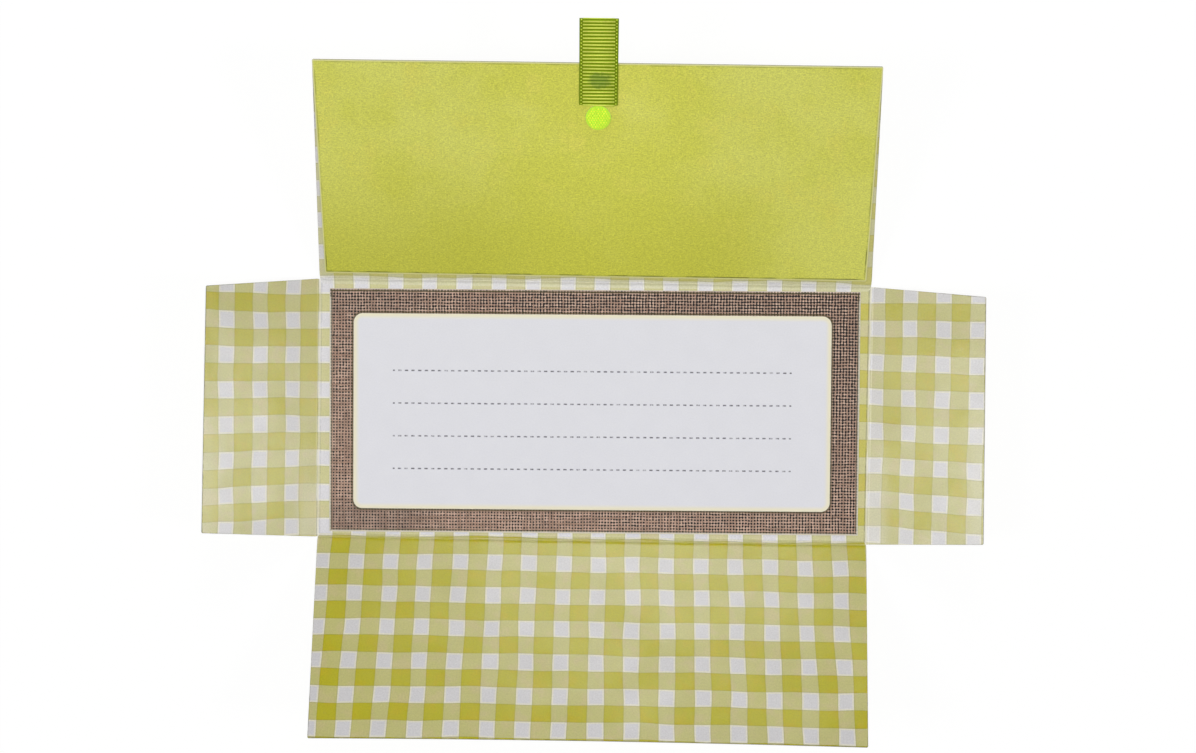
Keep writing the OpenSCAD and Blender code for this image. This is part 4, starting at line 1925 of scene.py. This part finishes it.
@dataclass
class Dot:
    """One closure dot: its woven ground and what stands on it.

    Attributes:
        name: The piece's name.
        node: The solid that it stands for.
        body: The body it rides on.
        pile: What stands on it.
        matrix: Leads from the dot's own directions to the row frame, in millimetres.
        radius: Radius of the ground.
        ground: Thickness of the ground.
        height: Height of the hooks or loops.
        rim: Bare rim of the ground.
        pitch: Distance between neighbours.
        stem: Thickness of a stem or a loop's thread.
        cap: Width of a hook's cap.
        cap_h: Height of a hook's cap.
        seed: Seed of the small changes.
        rows: Number of rows, more than the round ground can hold.
        points: Number of corners of the ground's outline.
        teeth: Number of cut threads round it.
        tooth: How far they stand out.
        hook_lean: Greatest lean of a hook, in radians.
        loop_lean: Greatest lean of a loop, in radians.
        tones: Least and greatest tone of a hook or loop.
    """

    name: str
    node: str
    body: str
    pile: Pile
    matrix: Matrix
    radius: float = 4.0
    ground: float = 0.25
    height: float = 0.4
    rim: float = 0.25
    pitch: float = 0.85
    stem: float = 0.26
    cap: float = 0.58
    cap_h: float = 0.16
    seed: int = 11
    rows: int = 15
    points: int = 112
    teeth: int = 31
    tooth: float = 0.09
    hook_lean: float = 0.1
    loop_lean: float = 0.45
    tones: Point2 = (0.8, 1.14)

    def build(self) -> None:
        """Builds the ground and the pile."""
        finish, ground_finish = ((HOOKS, HOOK_GROUND) if self.pile is Pile.HOOKS
                                 else (LOOPS, LOOP_GROUND))
        outline = []
        for k in range(self.points):
            angle = math.tau * k / self.points
            notch = 0.5 + 0.5 * math.cos(self.teeth * angle + math.sin(3 * angle))
            radius = self.radius - self.tooth * notch
            outline.append((radius * math.cos(angle), radius * math.sin(angle)))
        ground = Blank(f"{self.name}_ground", outline, 0.0, self.ground, (ground_finish,) * 3,
                       wear=0.02, rim=0.1).build()
        pile = self.build_pile(finish)
        for piece in (ground, pile):
            piece.data.transform(Matrix.Scale(MM, 4) @ self.matrix @ Matrix.Scale(1 / MM, 4))
        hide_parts(self.node)
        for piece in (ground, pile):
            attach(piece, self.body)
            report(piece, self.body)

    def build_pile(self, finish: Finish) -> Piece:
        """Sets the hooks or loops in staggered rows.

        Args:
            finish: Their finish.

        Returns:
            The pile, still in the dot's own directions.
        """
        tree = RowTree(self.pile.value, {
            "Pitch": self.pitch * MM, "Reach": (self.radius - self.rim - self.cap / 2) * MM,
            "Ground": self.ground * MM, "Height": self.height * MM, "Stem": self.stem * MM / 2,
            "Cap": self.cap * MM / 2, "Cap Height": self.cap_h * MM, "Seed": self.seed,
            "Finish": finish.material()})
        given, slope = tree.given, math.sin(math.radians(60))
        span = tree.times(given["Pitch"], float(self.rows - 1))
        grid = tree.add("GeometryNodeMeshGrid", {"Size X": span, "Size Y": tree.times(span, slope),
                        "Vertices X": self.rows, "Vertices Y": self.rows})
        spot = tree.add("GeometryNodeInputPosition").outputs[0]
        up_row = tree.add("ShaderNodeSeparateXYZ", {0: spot}).outputs[1]
        row = tree.math("ROUND", tree.math("DIVIDE", up_row, tree.times(given["Pitch"], slope)))
        aside = tree.times(tree.math("PINGPONG", row, 1.0), tree.times(given["Pitch"], 0.5))
        offset = tree.add("ShaderNodeCombineXYZ", {0: aside, 2: given["Ground"]})
        staggered = tree.add("GeometryNodeSetPosition", {"Geometry": grid, "Offset": offset})
        flat = tree.add("ShaderNodeVectorMath", {0: spot, 1: (1.0, 1.0, 0.0)},
                        operation="MULTIPLY")
        away = tree.add("ShaderNodeVectorMath", {0: flat}, operation="LENGTH")
        outside = tree.add("FunctionNodeCompare", {0: away.outputs["Value"],
                           1: given["Reach"]}, data_type="FLOAT", operation="GREATER_THAN")
        kept = tree.add("GeometryNodeDeleteGeometry", {"Geometry": staggered,
                        "Selection": outside})
        hooks = self.pile is Pile.HOOKS
        one = self.mushroom(tree) if hooks else self.loop(tree)
        lean = self.hook_lean if hooks else self.loop_lean
        turn = tree.add("FunctionNodeRandomValue", {0: (-lean, -lean, -3.14),
                        1: (lean, lean, 3.14), "Seed": given["Seed"]}, data_type="FLOAT_VECTOR")
        return tree.lay(f"{self.name}_pile", bpy.data.meshes.new(self.name),
                        {"Points": kept, "Instance": one, "Rotation": turn}, self.tones)

    def mushroom(self, tree: RowTree) -> Socket:
        """Makes one hook: a stem under a domed cap.

        Args:
            tree: The dot's tree.

        Returns:
            The hook's geometry.
        """
        stem = tree.add("GeometryNodeMeshCylinder", {"Vertices": 8, "Radius": tree.given["Stem"],
                        "Depth": tree.given["Height"]})
        up = tree.add("ShaderNodeCombineXYZ", {2: tree.times(tree.given["Height"], 0.42)})
        stood = tree.add("GeometryNodeTransform", {"Geometry": stem, "Translation": up})
        cap = tree.add("GeometryNodeMeshUVSphere", {"Segments": 10, "Rings": 6, "Radius": 1.0})
        size = tree.add("ShaderNodeCombineXYZ", {0: tree.given["Cap"], 1: tree.given["Cap"],
                        2: tree.times(tree.given["Cap Height"], 0.5)})
        top = tree.math("MULTIPLY_ADD", tree.given["Cap Height"], -0.5, tree.given["Height"])
        high = tree.add("ShaderNodeCombineXYZ", {2: top})
        domed = tree.add("GeometryNodeTransform", {"Geometry": cap,
                         "Translation": high, "Scale": size})
        both = tree.add("GeometryNodeJoinGeometry")
        tree.feed(both.inputs[0], stood)
        tree.feed(both.inputs[0], domed)
        return both.outputs[0]

    def loop(self, tree: RowTree) -> Socket:
        """Makes one loop of thread.

        Args:
            tree: The dot's tree.

        Returns:
            The loop's geometry.
        """
        radius = tree.times(tree.given["Height"], 0.5)
        arc = tree.add("GeometryNodeCurveArc", {"Resolution": 9, "Radius": radius,
                       "Start Angle": math.radians(-55), "Sweep Angle": math.radians(290)},
                       mode="RADIUS")
        ring = tree.add("GeometryNodeCurvePrimitiveCircle", {"Resolution": 5,
                        "Radius": tree.times(tree.given["Stem"], 0.35)})
        thread = tree.add("GeometryNodeCurveToMesh", {"Curve": arc, "Profile Curve": ring})
        up = tree.add("ShaderNodeCombineXYZ", {2: tree.times(radius, 0.8)})
        return tree.add("GeometryNodeTransform", {"Geometry": thread, "Translation": up,
                        "Rotation": (math.pi / 2, 0.0, 0.0)}).outputs[0]


def leaf_matrix(fold: Fold, run: float, out: float, up: float, turned: bool = False) -> Matrix:
    """Leads from a dot's own directions to its place on a leaf.

    Args:
        fold: The leaf's fold.
        run: Distance along the fold.
        out: Distance from the fold's centre line.
        up: Height above the leaf's underside.
        turned: Whether the dot hangs face down.

    Returns:
        The matrix, in millimetres.
    """
    spot = fold.place(run, out, up)
    right = (fold.place(run + 1, out, up) - spot).normalized()
    ahead = (fold.place(run, out + 1, up) - spot).normalized()
    high = right.cross(ahead)
    if turned:
        ahead, high = -ahead, -high
    matrix = Matrix((right, ahead, high)).transposed().to_4x4()
    matrix.translation = spot
    return matrix


@dataclass
class LidTrim:
    """What is glued inside the lid: the lime sheet, the ribbon and the hook dot.

    Attributes:
        fold: The lid's fold.
        half_w: Half the lime sheet's width.
        start: Distance from the fold to the sheet.
        end: Distance from the fold to the lid's free edge.
        spread: How much wider it is at the fold, at each side.
        slope: How much nearer to the fold its right end lies, and its left end farther.
        corner: Radius of its corners.
        low: Height of its underside above the lid's.
        thick: Its thickness.
        dot_out: Distance from the fold to the hook dot.
        glue: Thickness of the dot's adhesive.
    """

    fold: Fold
    half_w: float = 87.7
    start: float = 1.9
    end: float = LID_LENGTH
    spread: float = 0.55
    slope: float = 0.15
    corner: float = 0.5
    low: float = 0.45
    thick: float = 0.15
    dot_out: float = 57.05
    glue: float = DOT_GLUE

    def build(self) -> None:
        """Builds the lime sheet, then the ribbon and the dot on it."""
        wide = self.half_w + self.spread
        corners = [(-wide, self.start + self.slope), (wide, self.start - self.slope),
                   (self.half_w, self.end), (-self.half_w, self.end)]
        piece = Blank("lid_lining_sheet", rounded(corners, (self.corner,) * 4), self.low,
                      self.low + self.thick, (LIME, LIME_EDGE, LIME_EDGE),
                      place=self.fold.place, print_at=self.fold.sheet, wear=0.03, bare=0.1,
                      rim=0.9, cell=4.0).build()
        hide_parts("lid_lining")
        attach(piece, "lid")
        report(piece, "lid")
        ribbon = Ribbon(self.fold)
        ribbon.build()
        Dot("hook_dot", "hook_dot", "lid", Pile.HOOKS,
            leaf_matrix(self.fold, ribbon.shift, self.dot_out,
                        self.low + self.thick + self.glue)).build()


@dataclass
class PocketTrim:
    """What is glued outside the pocket flap: the loop dot.

    Attributes:
        fold: The pocket flap's fold.
        run: Distance of the dot along the fold.
        dot_out: Distance from the fold to the dot.
        glue: Thickness of the dot's adhesive.
        pitch: Distance between its loops.
    """

    fold: Fold
    run: float = -0.5
    dot_out: float = 27.35
    glue: float = DOT_GLUE
    pitch: float = 0.52

    def build(self) -> None:
        """Builds the dot, which hangs face down while the flap is open."""
        matrix = leaf_matrix(self.fold, self.run, self.dot_out, -self.glue, turned=True)
        Dot("loop_dot", "loop_dot", "pocket", Pile.LOOPS, matrix, pitch=self.pitch).build()


@dataclass
class Studio:
    """A plain pale floor, four soft lamps round and above the envelope, and the camera.

    Attributes:
        eye: The camera's place, in millimetres.
        aim_deg: The camera's turn.
        lens: Focal length on a 36 mm sensor.
        sky: Strength of the even light all round.
        floor_half: Half the floor's width, in metres.
        floor_up: Height of the floor, in metres.
        floor_tone: How pale the floor is.
        floor_glow: How bright the floor looks to the camera.
        glow_share: How much of that look covers the lit floor.
        lamps: Name, place, width and depth in metres, and power in watts of each lamp.
    """

    eye: tuple[float, float, float] = (6.83, 32.58, 596.98)
    aim_deg: tuple[float, float, float] = (-2.0, 0.556, 0.841)
    lens: float = 54.9
    sky: float = 0.275
    floor_half: float = 4.0
    floor_up: float = -2e-5
    floor_tone: float = 0.94
    floor_glow: float = 1.02
    glow_share: float = 0.92
    lamps: tuple[tuple[str, tuple[float, float, float], Point2, float], ...] = (
        ("left lamp", (-0.92, -0.137, 1.066), (0.36, 0.36), 4.6),
        ("right lamp", (0.92, -0.124, 0.915), (0.2, 0.2), 2.9),
        ("back lamp", (0.033, 0.95, 0.686), (0.36, 0.36), 2.85),
        ("top lamp", (0.0, -0.065, 1.2), (0.56, 0.28), 2.3))

    def build(self) -> None:
        """Sets up the camera, the floor, the world and the lamps."""
        self.camera()
        self.floor()
        self.world()
        for name, place, size, power in self.lamps:
            self.lamp(name, Vector(place), power, size)

    def camera(self) -> None:
        """Puts the camera where the photograph was taken from."""
        data = bpy.data.cameras.new("photo camera")
        data.lens, data.sensor_width = self.lens, 36.0
        data.clip_start = 0.05
        camera = linked("photo camera", data)
        camera.location = Vector(self.eye) * MM
        camera.rotation_euler = Euler([math.radians(a) for a in self.aim_deg], "XYZ")
        bpy.context.scene.camera = camera

    def floor(self) -> None:
        """Lays a plain pale floor under the envelope."""
        mesh = bpy.data.meshes.new("floor")
        reach, level = self.floor_half, self.floor_up
        mesh.from_pydata([(-reach, -reach, level), (reach, -reach, level),
                          (reach, reach, level), (-reach, reach, level)], [], [(0, 1, 2, 3)])
        shades = Shades("pale floor")
        base = shades.add("ShaderNodeBsdfDiffuse", {"Color": (*(self.floor_tone,) * 3, 1.0)})
        glow = shades.add("ShaderNodeEmission", {"Strength": self.floor_glow})
        path = shades.add("ShaderNodeLightPath").outputs
        seen = shades.math("MAXIMUM", path["Is Camera Ray"],
                           shades.math("MAXIMUM", path["Is Glossy Ray"],
                                       path["Is Transmission Ray"]))
        share = shades.times(seen, self.glow_share)
        both = shades.add("ShaderNodeMixShader", {0: share, 1: base, 2: glow})
        shades.add("ShaderNodeOutputMaterial", {"Surface": both})
        mesh.materials.append(shades.material)
        floor = linked("floor", mesh)

    def world(self) -> None:
        """Lights the room evenly, and shows it white to the camera."""
        world = bpy.data.worlds.new("room")
        world.use_nodes = True
        bpy.context.scene.world = world
        bench = Bench(world.node_tree)
        world.node_tree.nodes.clear()
        path = bench.add("ShaderNodeLightPath").outputs
        seen = bench.math("MAXIMUM", path["Is Camera Ray"], path["Is Transmission Ray"])
        light = bench.add("ShaderNodeBackground", {"Color": (1.0, 1.0, 1.0, 1.0),
                                                   "Strength": self.sky})
        white = bench.add("ShaderNodeBackground", {"Color": (1.0, 1.0, 1.0, 1.0), "Strength": 1.0})
        both = bench.add("ShaderNodeMixShader", {0: seen, 1: light, 2: white})
        bench.add("ShaderNodeOutputWorld", {"Surface": both})

    def lamp(self, name: str, place: Vector, power: float, size: Point2) -> None:
        """Hangs one soft lamp that faces the envelope.

        Args:
            name: The lamp's name.
            place: Where it hangs, in metres.
            power: Its power, in watts.
            size: Its width and its depth, in metres.
        """
        data = bpy.data.lights.new(name, "AREA")
        data.shape = "RECTANGLE"
        data.energy, (data.size, data.size_y) = power, size
        lamp = linked(name, data)
        lamp.location = place
        lamp.rotation_euler = (-place).to_track_quat("-Z", "Y").to_euler()


def dress_hidden_tapes() -> None:
    """Gives the tapes and adhesives, which stay as they are, their film."""
    for node, finish in (("mat_tape", TAPE), ("label_tape", TAPE), ("lining_tape", TAPE),
                         ("ribbon_tape", TAPE), ("hook_backing", BACKING),
                         ("loop_backing", BACKING)):
        mesh = frame["nodes"][node].data
        mesh.materials.clear()
        mesh.materials.append(finish.material())
        log.info("%-22s dressed", node)


def main() -> None:
    """Builds the envelope in order."""
    logging.basicConfig(level=logging.INFO, format="%(message)s")
    bpy.context.scene.view_settings.view_transform = "Standard"
    Studio().build()
    folder = Folder()
    folder.build()
    WritingPanel().build()
    LidTrim(folder.folds[Side.LID]).build()
    PocketTrim(folder.folds[Side.POCKET]).build()
    dress_hidden_tapes()


if __name__ == "__main__":
    main()
